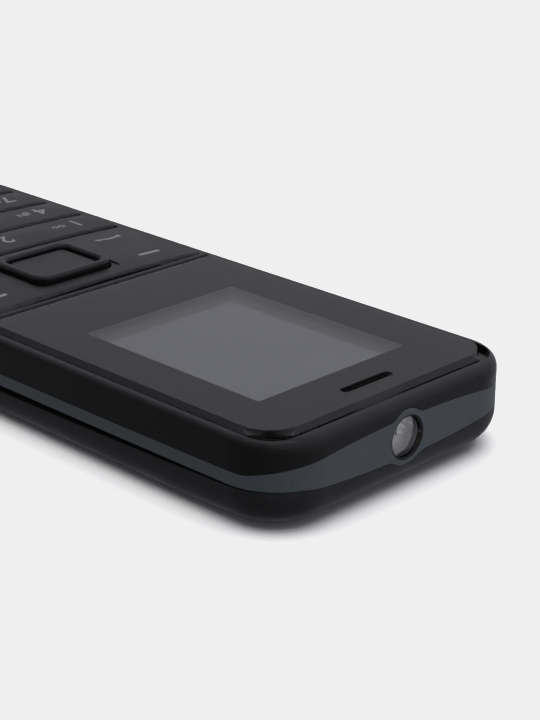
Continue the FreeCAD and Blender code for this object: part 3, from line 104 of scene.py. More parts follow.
# Depths from the back of the torch cup where its painted shade starts and where it is full
CUP_BRIGHT_DEPTH = 0.15 * MM
CUP_DARK_DEPTH = 0.85 * MM
SEAL_OVERLAP = 0.08 * MM
SEAL_COVER = 0.22 * MM
SEAL_THICKNESS = 0.4 * MM
SEAL_BEVEL = 0.1 * MM
SEAL_SINK = 0.46 * MM
LIGHT_CUP = in_mm((0, 0), (0.78, 0), (0.86, 0.42), (0.74, 0.42), (0.5, 0.12), (0, 0.12))
LIGHT_CUP_PLACE = 0.4 * MM
DIE_HALF = 0.34 * MM
DIE_CORNER = 0.04 * MM
DIE_THICKNESS = 0.14 * MM
DIE_PLACE = 0.53 * MM

WINDOW_INK_GAP = 0.08 * MM
WINDOW_INK_HOLE = 0.55
WINDOW_INK_THICKNESS = 0.03 * MM
WINDOW_INK_SINK = 0.05 * MM
TRIM_GAP = 0.03 * MM
TRIM_INNER_GAP = 0.34 * MM
TRIM_THICKNESS = 0.14 * MM
TRIM_BEVEL = 0.04 * MM
TRIM_RISE = 0.12 * MM
BARREL_RADIUS = 2.7 * MM
BARREL_BORE = 1.75 * MM
BARREL_BEVEL = 0.1 * MM
BARREL_GAP = 0.4 * MM
CAMERA_DOME = in_mm((0, -0.5), (0.6, -0.44), (1.1, -0.28), (1.55, 0.0), (1.55, 0.3), (0, 0.3))
CAMERA_DOME_DROP = 0.32 * MM
CLOTH_INSET = 0.3 * MM
CLOTH_CORNER = 3.0 * MM
CLOTH_THICKNESS = 0.12 * MM
CLOTH_DROP = 0.13 * MM

LABEL_INSET = 2.2 * MM
LABEL_CORNER = 1.2 * MM
LABEL_THICKNESS = 0.04 * MM
CONTACT_HALF = 0.16 * MM
CONTACT_LENGTH = 3.4 * MM
CONTACT_CORNER = 0.05 * MM
CONTACT_THICKNESS = 0.03 * MM
CONTACT_PITCH = 0.62 * MM
CONTACT_DEPTH = 4.3 * MM
COLLAR_RADIUS = 1.98 * MM
COLLAR_BORE = 1.72 * MM
COLLAR_THICKNESS = 0.12 * MM
COLLAR_BEVEL = 0.03 * MM

# The studio's walls: height on the ramp from floor to ceiling, and the light there

WALL_LIGHT = [(0.0, 0.12), (0.47, 0.24), (0.52, 0.25), (0.68, 0.28), (0.85, 0.42), (1.0, 0.46)]
WALL_TINT = (1.0, 0.995, 1.08)
WALL_SLANT = (-0.9, 0.4, 0.0)


def length(name, description, default):
    """A length that a user would change, with its default in millimetres."""
    return FloatProperty(
        name=name, description=description, default=default * MM, unit="LENGTH", subtype="DISTANCE"
    )


def turning(name, description, default):
    """An angle that a user would change."""
    return FloatProperty(
        name=name, description=description, default=default, unit="ROTATION", subtype="ANGLE"
    )


def colour(name, description, default):
    """A colour that a user would change."""
    return FloatVectorProperty(
        name=name,
        description=description,
        default=default,
        size=3,
        min=0.0,
        max=1.0,
        subtype="COLOR",
    )


class PhoneFinishes(bpy.types.PropertyGroup):
    """The colours of the phone's finishes."""

    shell: colour("Front shell", "Polished black moulding", (0.0045, 0.0045, 0.0052))
    print_black: colour("Lens print", "Ink on the back of the lens", (0.004, 0.004, 0.0045))
    band: colour("Waist band", "Satin grey paint with a blue cast", (0.130, 0.152, 0.160))
    cover: colour("Back cover", "Satin black plastic", (0.018, 0.018, 0.0195))
    housing: colour("Rear housing", "Glass-filled black plastic", (0.006, 0.006, 0.0065))
    keys: colour("Keys", "Black lacquer on the key tops", (0.017, 0.017, 0.0185))
    ring: colour("Ring", "Smooth black plastic of the five-way ring", (0.013, 0.0125, 0.014))
    legend: colour("Legends", "Pale ink of the key legends", (0.46, 0.46, 0.48))
    display: colour("Display", "Unlit display glass", (0.222, 0.231, 0.241))
    steel: colour("Steel", "Stamped plated steel", (0.60, 0.60, 0.59))
    gold: colour("Contacts", "Gold plating", (0.86, 0.58, 0.22))
    board: colour("Board", "Green solder mask", (0.012, 0.075, 0.035))
    silicone: colour("Silicone", "Grey silicone rubber", (0.30, 0.30, 0.31))
    chrome: colour("Chrome", "Bright plating in the torch and round the camera", (0.80, 0.80, 0.81))
    rubber: colour("Rubber", "Black rubber", (0.016, 0.016, 0.017))
    wrap: colour("Battery wrap", "Silver-grey film round the cell", (0.33, 0.34, 0.36))


class PhoneSizes(bpy.types.PropertyGroup):
    """Sizes of the trim that is added to the solids."""

    window_width: length("Window width", "Clear part of the lens across the phone", 28.6)
    window_length: length("Window length", "Clear part of the lens along the phone", 34.4)
    window_start: length("Window start", "Lower edge of the clear part, along Y", 14.4)
    window_corner: length("Window corner", "Corner radius of the clear part", 0.35)
    active_inset: length("Active inset", "From the clear window to the lit area in it", 2.0)
    bar_width: length("Bar width", "Width of the bar between the keys and the lens", 1.15)
    bar_rise: length("Bar rise", "How far that bar stands out of the shell", 0.5)
    ring_width: length("Ring width", "Five-way ring across the phone", 14.8)
    ring_length: length("Ring length", "Five-way ring along the phone", 12.8)
    ring_corner: length("Ring corner", "Corner radius of the five-way ring", 2.9)
    lip_hole_margin: length("Lip margin", "From the ring to the step's outer edge", 0.59)
    lip_hole_corner: length("Lip corner", "Corner radius of the step's outer edge", 1.2)
    lip_gap: length("Lip gap", "From the ring to the step's inner edge", 0.36)
    lip_drop: length("Lip drop", "How far the step lies below the plate", 0.28)
    print_thickness: length("Print thickness", "Thickness of the ink on the lens", 0.03)
    print_margin: length("Print margin", "Distance from the ink to the edge of the lens", 0.12)
    corner_cut: length("Lens corner cut", "Leg of the lens's cut corners", 4.3)
    ear_length: length("Ear slot length", "Length of the slot over the earpiece", 9.6)
    ear_width: length("Ear slot width", "Width of the slot over the earpiece", 1.5)
    digit_height: length("Digit height", "Height of a digit on a key", 3.3)
    letter_height: length("Letter height", "Height of the small letters on a key", 1.7)
    ink_rise: length("Ink rise", "How far a legend stands proud of the key", 0.015)
    legend_step: length("Legend step", "Longest straight run of a legend on a key", 0.4)
    column_pitch: length("Column pitch", "Distance between two columns of keys", 14.5)
    digit_shift: length("Digit shift", "From a column's middle to its digit", -2.3)
    letter_shift: length("Letter shift", "From a column's middle to its letters", 1.3)


class PhoneStudio(bpy.types.PropertyGroup):
    """Camera, lights and floor."""

    camera_place: FloatVectorProperty(
        name="Camera place",
        description="Where the camera stands",
        default=(0.170849, 0.204957, 0.106941),
        size=3,
        unit="LENGTH",
        subtype="TRANSLATION",
    )
    camera_turn: turning("Camera turn", "Direction of view round the vertical, from +Y", 2.34843066)
    camera_fall: turning("Camera fall", "Angle of view below the horizon", 0.3781897)
    camera_roll: turning("Camera roll", "Roll of the camera about its own axis", -0.0070327)
    camera_lens: FloatProperty(
        name="Focal length", description="Focal length of the camera", default=93.116, unit="CAMERA"
    )
    floor_colour: colour("Floor", "Pale floor under the phone", (0.80, 0.80, 0.80))
    floor_size: length("Floor size", "Side of the square floor", 6000)
    floor_light: FloatProperty(
        name="Floor light",
        description="Strength of the overhead light that only the floor takes",
        default=3.9,
    )
    floor_light_spread: turning("Floor light spread", "Angle that the overhead light fills", 1.3)
    softbox_power: FloatProperty(
        name="Softbox",
        description="Power of the softbox above the phone",
        default=0.25,
        unit="POWER",
    )
    softbox_size: length("Softbox size", "Side of the softbox", 500)
    softbox_height: length("Softbox height", "Height of the softbox above the floor", 700)
    side_light: FloatProperty(
        name="Side light",
        description="Share by which the torch end's side of the studio is lighter",
        default=0.4,
    )
    white_level: FloatProperty(
        name="White level",
        description="Brightness at which the picture clips",
        default=0.866,
        min=0.1,
        max=1.0,
    )


# Finishes


class Tree:
    """A node tree whose nodes are made and linked in one call."""

    def __init__(self, tree):
        self.tree = tree

    def node(self, kind, **inputs):
        """A new node, with a constant or another node's output on each input that is named."""
        made = self.tree.nodes.new(kind)
        for name, value in inputs.items():
            socket = made.inputs[name.replace("_", " ")]
            if isinstance(value, bpy.types.NodeSocket):
                self.link(value, socket)
            else:
                socket.default_value = value
        return made

    def link(self, start, end):
        self.tree.links.new(start, end)


class Finish(Tree):
    """A material made of one Principled shader, with noise hung on its sockets by the methods."""

    def __init__(self, name, base, roughness, metallic=0.0):
        self.material = bpy.data.materials.new(name)
        self.material.use_nodes = True
        super().__init__(self.material.node_tree)
        self.shader = self.tree.nodes["Principled BSDF"]
        self.put("Base Color", (*base, 1.0)).put("Roughness", roughness).put("Metallic", metallic)
        self.base = tuple(base)
        self.roughness = roughness
        self.place = self.tree.nodes.new("ShaderNodeTexCoord").outputs["Object"]

    def put(self, socket, value):
        """Set one constant on the shader."""
        self.shader.inputs[socket].default_value = value
        return self

    def stretched(self, scale):
        """Coordinates squeezed by a factor along each axis, for grain that runs one way."""
        return self.node("ShaderNodeMapping", Scale=scale, Vector=self.place).outputs["Vector"]

    def noise(self, size, detail=2.0, stretch=None):
        """Noise whose blobs are about size across."""
        place = self.stretched(stretch) if stretch else self.place
        made = self.node("ShaderNodeTexNoise", Scale=1.0 / size, Detail=detail, Vector=place)
        return made.outputs["Fac"]

    def ramp(self, factor, low, high, start=0.35, end=0.65):
        """A colour that goes from low to high as the factor goes from start to end."""
        made = self.node("ShaderNodeValToRGB", Fac=factor)
        elements = made.color_ramp.elements
        elements[0].position = start
        elements[0].color = (*low, 1.0)
        elements[1].position = end
        elements[1].color = (*high, 1.0)
        return made.outputs["Color"]

    def mottle(self, size, share, stretch=None):
        """Make the base colour a little darker and lighter in patches."""
        low = [part * (1.0 - share) for part in self.base]
        high = [min(1.0, part * (1.0 + share)) for part in self.base]
        tint = self.ramp(self.noise(size, 3.0, stretch), low, high)
        self.link(tint, self.shader.inputs["Base Color"])
        return self

    def along(self, axis, start, end, low, high):
        """Make the base colour go from low to high along an axis of the phone."""
        place = self.node("ShaderNodeSeparateXYZ", Vector=self.place).outputs[axis]
        share = self.node("ShaderNodeMapRange", From_Min=start, From_Max=end, Value=place)
        tint = self.ramp(share.outputs["Result"], low, high, 0.0, 1.0)
        self.link(tint, self.shader.inputs["Base Color"])
        return self

    def bordered(self, left, right, low, high, tint):
        """Give the base colour a tint outside a rectangle seen along Z."""
        split = self.node("ShaderNodeSeparateXYZ", Vector=self.place)
        inside = []
        for axis, start, end in (("X", left, right), ("Y", low, high)):
            test = self.node("ShaderNodeMath")
            test.operation = "COMPARE"
            self.link(split.outputs[axis], test.inputs[0])
            test.inputs[1].default_value = (start + end) / 2
            test.inputs[2].default_value = (end - start) / 2
            inside.append(test.outputs["Value"])
        both = self.node("ShaderNodeMath")
        both.operation = "MULTIPLY"
        self.link(inside[0], both.inputs[0])
        self.link(inside[1], both.inputs[1])
        made = self.node("ShaderNodeMix")
        made.data_type = "RGBA"
        self.link(both.outputs["Value"], made.inputs["Factor"])
        target = self.shader.inputs["Base Color"]
        self.link(target.links[0].from_socket, made.inputs["B"])
        made.inputs["A"].default_value = (*tint, 1.0)
        self.link(made.outputs["Result"], target)
        return self

    def patchy(self, size, share, stretch=None):
        """Make the roughness vary in patches by a share of itself."""
        low = self.roughness * (1.0 - share)
        high = min(1.0, self.roughness * (1.0 + share))
        made = self.node("ShaderNodeMapRange", From_Min=0.3, From_Max=0.7, To_Min=low, To_Max=high)
        self.link(self.noise(size, 4.0, stretch), made.inputs["Value"])
        self.link(made.outputs["Result"], self.shader.inputs["Roughness"])
        return self

    def relief(self, height, depth, strength):
        """Add a bump of a height field, on top of any bump already there."""
        made = self.node("ShaderNodeBump", Distance=depth, Strength=strength, Height=height)
        target = self.shader.inputs["Normal"]
        if target.is_linked:
            self.link(target.links[0].from_socket, made.inputs["Normal"])
        self.link(made.outputs["Normal"], target)
        return self

    def grain(self, size, depth, strength=0.5, stretch=None):
        return self.relief(self.noise(size, 2.0, stretch), depth, strength)

    def cells(self, size):
        """Distance to the nearest point of a scattered set, for specks, dimples and domes."""
        made = self.node("ShaderNodeTexVoronoi", Scale=1.0 / size, Vector=self.place)
        return made.outputs["Distance"]

    def specks(self, size, radius, tint):
        """Small specks of dust in another colour."""
        made = self.node("ShaderNodeMix")
        made.data_type = "RGBA"
        spot = self.ramp(self.cells(size), (1, 1, 1), (0, 0, 0), radius * 0.6, radius)
        self.link(spot, made.inputs["Factor"])
        target = self.shader.inputs["Base Color"]
        if target.is_linked:
            self.link(target.links[0].from_socket, made.inputs["A"])
        else:
            made.inputs["A"].default_value = (*self.base, 1.0)
        made.inputs["B"].default_value = (*tint, 1.0)
        self.link(made.outputs["Result"], target)
        return self


def polished_black(name, base):
    """Black moulding polished to a gloss, with the faint ripple and haze of handling."""
    finish = Finish(name, base, 0.13).patchy(6 * MM, 0.35).mottle(9 * MM, 0.12)
    finish.grain(0.8 * MM, 0.004 * MM, 0.25).specks(2.4 * MM, 0.016, (0.05, 0.05, 0.05))
    return finish.put("IOR", 1.46)


def satin_paint(name, base):
    """Metallic satin paint: a fine sparkle in the colour and a soft even sheen."""
    finish = Finish(name, base, 0.42, 0.15).mottle(0.09 * MM, 0.22).patchy(5 * MM, 0.12)
    finish.grain(0.12 * MM, 0.003 * MM, 0.35)
    return finish.put("Coat Weight", 0.12).put("Coat Roughness", 0.3)


def satin_plastic(name, base):
    """Spark-eroded satin plastic: very fine grain, slightly worn to a shine in patches."""
    finish = Finish(name, base, 0.36).patchy(7 * MM, 0.18).mottle(4 * MM, 0.1)
    finish.grain(0.16 * MM, 0.006 * MM, 0.5).specks(2.0 * MM, 0.018, (0.06, 0.06, 0.06))
    return finish


def filled_plastic(name, base):
    """Glass-filled structural plastic, dull and faintly streaked by its flow in the mould."""
    finish = Finish(name, base, 0.55).mottle(3 * MM, 0.25, (1.0, 0.2, 1.0))
    finish.patchy(2 * MM, 0.15)
    return finish.grain(0.2 * MM, 0.01 * MM, 0.6)


def key_lacquer(name, base):
    """Satin lacquer on a key top, with a trace of polish where thumbs land."""
    finish = Finish(name, base, 0.31).patchy(5 * MM, 0.16).mottle(6 * MM, 0.1)
    finish.grain(0.2 * MM, 0.003 * MM, 0.4).specks(2.6 * MM, 0.017, (0.06, 0.06, 0.06))
    return finish


def key_ink(name, base):
    finish = Finish(name, base, 0.45).mottle(0.3 * MM, 0.15)
    return finish.grain(0.1 * MM, 0.004 * MM, 0.4)


def glass_ink(name, base, blot, haze):
    """Opaque ink on the back of a clear moulding, uneven in patches of the two given sizes."""
    finish = Finish(name, base, 0.4).mottle(blot, 0.1).patchy(haze, 0.1)
    return finish.grain(0.3 * MM, 0.002 * MM, 0.3)


def label_film(name, base):
    finish = Finish(name, base, 0.4).mottle(6 * MM, 0.06).patchy(4 * MM, 0.2)
    return finish.grain(0.6 * MM, 0.006 * MM, 0.4)


def acrylic(name, tint, roughness=0.015):
    """Clear moulded acrylic with a very faint ripple."""
    finish = Finish(name, tint, roughness).put("Transmission Weight", 1.0).put("IOR", 1.49)
    finish.patchy(8 * MM, 0.5)
    return finish.grain(4 * MM, 0.004 * MM, 0.15)


def display_glass(name, base, active_side, active_low, active_high):
    """Unlit display: polariser film over glass, with its dot pattern just showing."""
    finish = Finish(name, base, 0.09).mottle(12 * MM, 0.04).patchy(6 * MM, 0.2)
    edge = [part * 0.84 for part in base]
    finish.bordered(-active_side, active_side, active_low, active_high, edge)
    dots = finish.node("ShaderNodeTexChecker", Scale=1.0 / (0.22 * MM), Vector=finish.place)
    return finish.relief(dots.outputs["Fac"], 0.002 * MM, 0.15).put("IOR", 1.5)


def plated_metal(name, base, roughness=0.28, run=(1.0, 12.0, 12.0)):
    """Stamped and plated metal with fine draw lines along X."""
    finish = Finish(name, base, roughness, 1.0).mottle(2.5 * MM, 0.12)
    finish.patchy(0.6 * MM, 0.25, run)
    return finish.grain(0.5 * MM, 0.004 * MM, 0.35, run)


def bright_cup(name, base):
    """Vacuum-metallised cup with a light orange peel that breaks up what it reflects, painted
    darker towards its mouth as painted shade.
    """
    finish = Finish(name, base, 0.06, 1.0).patchy(0.8 * MM, 0.6)
    # Painted shade: the plating darkens from the back of the cup towards its mouth, in place of the
    # dark surroundings that it reflects
    painted_shade = [part * 0.14 for part in base]
    finish.along("Y", CUP_LOW.y + CUP_BRIGHT_DEPTH, CUP_LOW.y + CUP_DARK_DEPTH, base, painted_shade)
    return finish.relief(finish.cells(0.9 * MM), 0.3 * MM, 0.7)


def soft_rubber(name, base, roughness=0.6):
    finish = Finish(name, base, roughness).mottle(1.5 * MM, 0.15).patchy(1.2 * MM, 0.12)
    return finish.grain(0.15 * MM, 0.008 * MM, 0.4)


def silicone_rubber(name, base):
    finish = soft_rubber(name, base, 0.45)
    return finish.put("Subsurface Weight", 0.4).put("Subsurface Scale", 0.6 * MM)


def solder_mask(name, base):
    """Green solder mask with the copper tracks standing out under it."""
    finish = Finish(name, base, 0.32)
    tracks = finish.node(
        "ShaderNodeTexBrick",
        Vector=finish.place,
        Scale=1.0 / (2.2 * MM),
        Mortar_Size=0.05,
        Color1=(*base, 1.0),
        Color2=(*[part * 0.8 for part in base], 1.0),
        Mortar=(*[min(1.0, part * 2.2) for part in base], 1.0),
    )
    finish.link(tracks.outputs["Color"], finish.shader.inputs["Base Color"])
    finish.patchy(3 * MM, 0.2)
    return finish.relief(tracks.outputs["Fac"], 0.02 * MM, 0.5)


def printed_film(name, base, pitch, rise):
    """Film with a regular pattern of domes or tracks under it."""
    finish = Finish(name, base, 0.3).mottle(pitch, 0.25).patchy(pitch * 2, 0.2)
    return finish.relief(finish.cells(pitch), rise, 0.5)


def woven_mesh(name, base):
    """Fine black mesh: two crossed waves make the wires."""
    finish = Finish(name, base, 0.45, 0.8).mottle(0.4 * MM, 0.2).patchy(0.5 * MM, 0.2)
    for turn in ("X", "Y"):
        wave = finish.node("ShaderNodeTexWave", Scale=1.0 / (1.1 * MM), Vector=finish.place)
        wave.bands_direction = turn
        finish.relief(wave.outputs["Fac"], 0.05 * MM, 0.6)
    return finish


# Meshes of the trim


def rounded_outline(left, right, low, high, radius, steps=6):
    """Corner points of a rectangle with round corners, counter-clockwise."""
    points = []
    centres = [
        (right - radius, low + radius, -90),
        (right - radius, high - radius, 0),
        (left + radius, high - radius, 90),
        (left + radius, low + radius, 180),
    ]
    for across, along, start in centres:
        for step in range(steps + 1):
            angle = math.radians(start + 90 * step / steps)
            points.append((across + radius * math.cos(angle), along + radius * math.sin(angle)))
    return points


def centred_outline(side, rise, radius, steps=6):
    """The same about the origin, from half its width and half its length."""
    return rounded_outline(-side, side, -rise, rise, radius, steps)


def inset_outline(low, high, inset, top_inset, radius):
    """The same inside a box seen along Z, with its own distance at the torch end."""
    return rounded_outline(low.x + inset, high.x - inset, low.y + inset, high.y - top_inset, radius)


def circle(radius, count=40):
    """Points on a circle about the origin."""
    angles = [2 * math.pi * step / count for step in range(count)]
    return [(radius * math.cos(angle), radius * math.sin(angle)) for angle in angles]


def centre(low, high):
    """The middle of a box."""
    return [(start + end) / 2 for start, end in zip(low, high)]


def placed(name, data):
    """A new object in the scene."""
    made = bpy.data.objects.new(name, data)
    bpy.context.scene.collection.objects.link(made)
    return made


def mesh_of(curve_object):
    """The mesh of a curve or text object, which is removed."""
    bpy.context.view_layer.update()
    source = curve_object.evaluated_get(bpy.context.evaluated_depsgraph_get())
    mesh = bpy.data.meshes.new_from_object(source)
    data = curve_object.data
    bpy.data.objects.remove(curve_object)
    bpy.data.curves.remove(data)
    return mesh


def welded(mesh):
    """Join the doubled points of a mesh and turn its faces outwards."""
    work = bmesh.new()
    work.from_mesh(mesh)
    bmesh.ops.remove_doubles(work, verts=work.verts, dist=1e-7)
    bmesh.ops.recalc_face_normals(work, faces=work.faces)
    work.to_mesh(mesh)
    work.free()
    return mesh


def plate_mesh(outlines, thickness, bevel=0.0):
    """A flat plate standing on height 0: the first outline is its edge, the others its holes."""
    data = bpy.data.curves.new("plate_outline", "CURVE")
    data.dimensions = "2D"
    data.fill_mode = "BOTH"
    data.extrude = thickness / 2 - bevel
    data.bevel_depth = bevel
    data.bevel_resolution = 2
    data.offset = -bevel
    for outline in outlines:
        spline = data.splines.new("POLY")
        spline.points.add(len(outline) - 1)
        for point, (across, along) in zip(spline.points, outline):
            point.co = (across, along, 0, 1)
        spline.use_cyclic_u = True
    mesh = mesh_of(placed("plate_outline", data))
    mesh.transform(Matrix.Translation((0, 0, thickness / 2)))
    return welded(mesh)


def washer(radius, bore, thickness, bevel=0.0):
    """A flat round ring about the origin, standing on height 0."""
    return plate_mesh([circle(radius), circle(bore)], thickness, bevel)


def turned_mesh(profile, count=48):
    """A closed solid turned about Z from points (radius, height), both ends on the axis."""
    work = bmesh.new()
    rings = []
    for radius, height in profile:
        if radius < 1e-9:
            rings.append([work.verts.new((0, 0, height))])
            continue
        rings.append([work.verts.new((*point, height)) for point in circle(radius, count)])
    for lower, upper in zip(rings, rings[1:]):
        for step in range(count):
            following = (step + 1) % count
            if len(lower) == 1:
                work.faces.new((lower[0], upper[following], upper[step]))
            elif len(upper) == 1:
                work.faces.new((lower[step], lower[following], upper[0]))
            else:
                work.faces.new((lower[step], lower[following], upper[following], upper[step]))
    bmesh.ops.recalc_face_normals(work, faces=work.faces)
    mesh = bpy.data.meshes.new("turned")
    work.to_mesh(mesh)
    work.free()
    mesh.shade_smooth()
    mesh.set_sharp_from_angle(angle=math.radians(35))
    return mesh


def text_mesh(words, height, thickness):
    """Letters of a given capital height, centred on the origin, as closed solids."""
    data = bpy.data.curves.new("words", "FONT")
    data.body = words
    data.align_x = "CENTER"
    data.align_y = "CENTER"
    data.size = height / 0.72
    data.offset = height * 0.016
    data.extrude = thickness / 2
    data.resolution_u = 3
    mesh = welded(mesh_of(placed("words", data)))
    heights = [point.co.y for point in mesh.vertices]
    mesh.transform(Matrix.Translation((0, -(min(heights) + max(heights)) / 2, thickness / 2)))
    return mesh


def sliced(mesh, step):
    """Cut a flat mesh by a square grid of planes, so that it can follow a curved surface."""
    work = bmesh.new()
    work.from_mesh(mesh)
    for axis in (0, 1):
        places = [point.co[axis] for point in work.verts]
        normal = Vector((1 - axis, axis, 0))
        first = math.floor(min(places) / step) + 1
        last = math.ceil(max(places) / step)
        for number in range(first, last):
            faces = [*work.verts, *work.edges, *work.faces]
            place = normal * number * step
            bmesh.ops.bisect_plane(work, geom=faces, dist=1e-8, plane_co=place, plane_no=normal)
    work.to_mesh(mesh)
    work.free()
    return mesh


def drop_onto(mesh, node):
    """Lift each point of a flat mesh by the height of the node's upper surface below it."""
    target = frame["nodes"][node].data
    corners = [point.co for point in target.vertices]
    tree = BVHTree.FromPolygons(corners, [tuple(face.vertices) for face in target.polygons])
    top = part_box(node)[1].z + MM
    for point in mesh.vertices:
        hit = tree.ray_cast(Vector((point.co.x, point.co.y, top)), -UPRIGHT)[0]
        if hit is None:
            raise RuntimeError("a legend reaches past the edge of %s" % node)
        point.co.z += hit.z
    return mesh


def joined(meshes):
    """One mesh from several, which are removed."""
    work = bmesh.new()
    for mesh in meshes:
        work.from_mesh(mesh)
        bpy.data.meshes.remove(mesh)
    result = bpy.data.meshes.new("joined")
    work.to_mesh(result)
    work.free()
    return result


def moved(mesh, across, along, up):
    mesh.transform(Matrix.Translation((across, along, up)))
    return mesh


def tipped(mesh, degrees):
    """Turn a mesh about X: by -90 its top faces the torch end, by 90 the bottom end."""
    mesh.transform(Matrix.Rotation(math.radians(degrees), 4, "X"))
    return mesh


def add_piece(name, mesh, finish, node):
    """Put a mesh in the scene as a piece that rides with a node, with the finish given."""
    mesh.name = name
    piece = placed(name, mesh)
    mesh.materials.clear()
    mesh.materials.append(finish.material)
    body = body_of(node)
    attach(piece, body)


def dress(finish, *nodes):
    """Give a finish to solids of the frame."""
    for name in nodes:
        for held in frame["nodes"][name].material_slots:
            held.material = finish.material


def body_of(node):
    """The moving body that carries a node."""
    for body, members in frame["record"]["behaviour"]["bodies"].items():
        if node in members:
            return body
    raise RuntimeError("no body carries %s" % node)


# Operators, one for each group of like pieces


class PHONE_OT_casing(bpy.types.Operator):
    """Finish the front shell, the waist band, the back cover and the rear housing"""

    bl_idname = "phone.casing"
    bl_label = "Casing"

    def execute(self, context):
        colours = context.scene.phone_finishes
        dress(polished_black("shell_black", colours.shell), "front_shell")
        dress(satin_paint("band_grey", colours.band), "side_band")
        dress(satin_plastic("cover_black", colours.cover), "back_cover")
        dress(filled_plastic("housing_black", colours.housing), "rear_housing")
        self.lay_bar(context.scene.phone_sizes, polished_black("bar_black", colours.ring))
        return {"FINISHED"}

    def lay_bar(self, sizes, finish):
        """The round-topped bar that the shell has between the function keys and the lens."""
        half = sizes.bar_width / 2
        outline = centred_outline(PLATE_HIGH.x - BAR_END_GAP, half, half * BAR_CORNER_SHARE, 8)
        bar = plate_mesh([outline], sizes.bar_rise + BAR_SINK, half * BAR_BEVEL_SHARE)
        middle = (PLATE_HIGH.y + LENS_LOW.y) / 2 + BAR_SHIFT
        moved(bar, 0, middle, SHELL_HIGH.z - BAR_SINK)
        add_piece("cross_bar", bar, finish, "front_shell")


class PHONE_OT_display(bpy.types.Operator):
    """Finish the lens and the display, and print the black mask on the back of the lens"""

    bl_idname = "phone.display"
    bl_label = "Display"

    def execute(self, context):
        colours = context.scene.phone_finishes
        sizes = context.scene.phone_sizes
        dress(acrylic("lens_acrylic", (0.97, 0.98, 0.99)), "display_lens")
        inset = sizes.active_inset
        side = sizes.window_width / 2 - inset
        low = sizes.window_start + inset
        high = sizes.window_start + sizes.window_length - inset
        dress(display_glass("display_glass", colours.display, side, low, high), "lcd_panel")
        dress(soft_rubber("glue_tape", colours.rubber), "lens_adhesive")
        dress(filled_plastic("frame_white", (0.7, 0.7, 0.69)), "lcd_backlight_frame")
        dress(printed_film("flex_amber", (0.30, 0.13, 0.02), 0.8 * MM, 0.02 * MM), "lcd_flex")
        self.print_lens(sizes, glass_ink("lens_ink", colours.print_black, 5 * MM, 3 * MM))
        return {"FINISHED"}

    def print_lens(self, sizes, ink):
        """The black mask, with the clear window and the earpiece slot left out."""
        margin = sizes.print_margin
        side = LENS_HIGH.x - margin
        low = LENS_LOW.y + margin
        high = LENS_HIGH.y - margin
        leg = sizes.corner_cut
        right = [(side, low), (side, high - leg), (side - leg, high)]
        edge = [(-side, low), *right, (-side + leg, high), (-side, high - leg)]
        half = sizes.window_width / 2
        start = sizes.window_start
        end = start + sizes.window_length
        window = rounded_outline(-half, half, start, end, sizes.window_corner)
        ear_y = centre(MESH_LOW, MESH_HIGH)[1]
        tall = sizes.ear_width / 2 + margin
        reach = sizes.ear_length / 2 + margin
        corner = tall * EAR_CORNER_SHARE
        ear = rounded_outline(-reach, reach, ear_y - tall, ear_y + tall, corner)
        mask = plate_mesh([edge, window, ear], sizes.print_thickness)
        moved(mask, 0, 0, LENS_LOW.z + sizes.print_thickness)
        add_piece("lens_print", mask, ink, "display_lens")


class PHONE_OT_earpiece(bpy.types.Operator):
    """Finish the earpiece and the mesh in its slot"""

    bl_idname = "phone.earpiece"
    bl_label = "Earpiece"

    def execute(self, context):
        colours = context.scene.phone_finishes
        dress(woven_mesh("ear_mesh", (0.02, 0.02, 0.02)), "earpiece_mesh")
        dress(plated_metal("receiver_steel", colours.steel), "earpiece_receiver")
        return {"FINISHED"}


class PHONE_OT_keys(bpy.types.Operator):
    """Lacquer the key tops and finish the mat and the dome sheet under them"""

    bl_idname = "phone.keys"
    bl_label = "Keys"

    def execute(self, context):
        colours = context.scene.phone_finishes
        dress(key_lacquer("key_lacquer", colours.keys), "function_plate", "ok_key", *ROWS)
        dress(polished_black("ring_black", colours.ring), "nav_ring")
        self.line_ring_hole(context.scene.phone_sizes, key_lacquer("lip_black", colours.keys))
        dress(silicone_rubber("mat_silicone", colours.silicone), "keypad_mat")
        dress(printed_film("dome_film", (0.55, 0.56, 0.58), 4.5 * MM, 0.2 * MM), "dome_sheet")
        return {"FINISHED"}

    def line_ring_hole(self, sizes, finish):
        """A step inside the plate's hole that follows the ring's round corners."""
        side = sizes.ring_width / 2
        rise = sizes.ring_length / 2
        reach = sizes.lip_hole_margin
        hole = centred_outline(side + reach, rise + reach, sizes.lip_hole_corner)
        gap = sizes.lip_gap
        inner = centred_outline(side + gap, rise + gap, sizes.ring_corner + gap)
        lip = plate_mesh([hole, inner], LIP_THICKNESS, LIP_BEVEL)
        middle = centre(RING_LOW, RING_HIGH)[1]
        moved(lip, 0, middle, PLATE_HIGH.z - sizes.lip_drop - LIP_THICKNESS)
        add_piece("plate_lip", lip, finish, "function_plate")


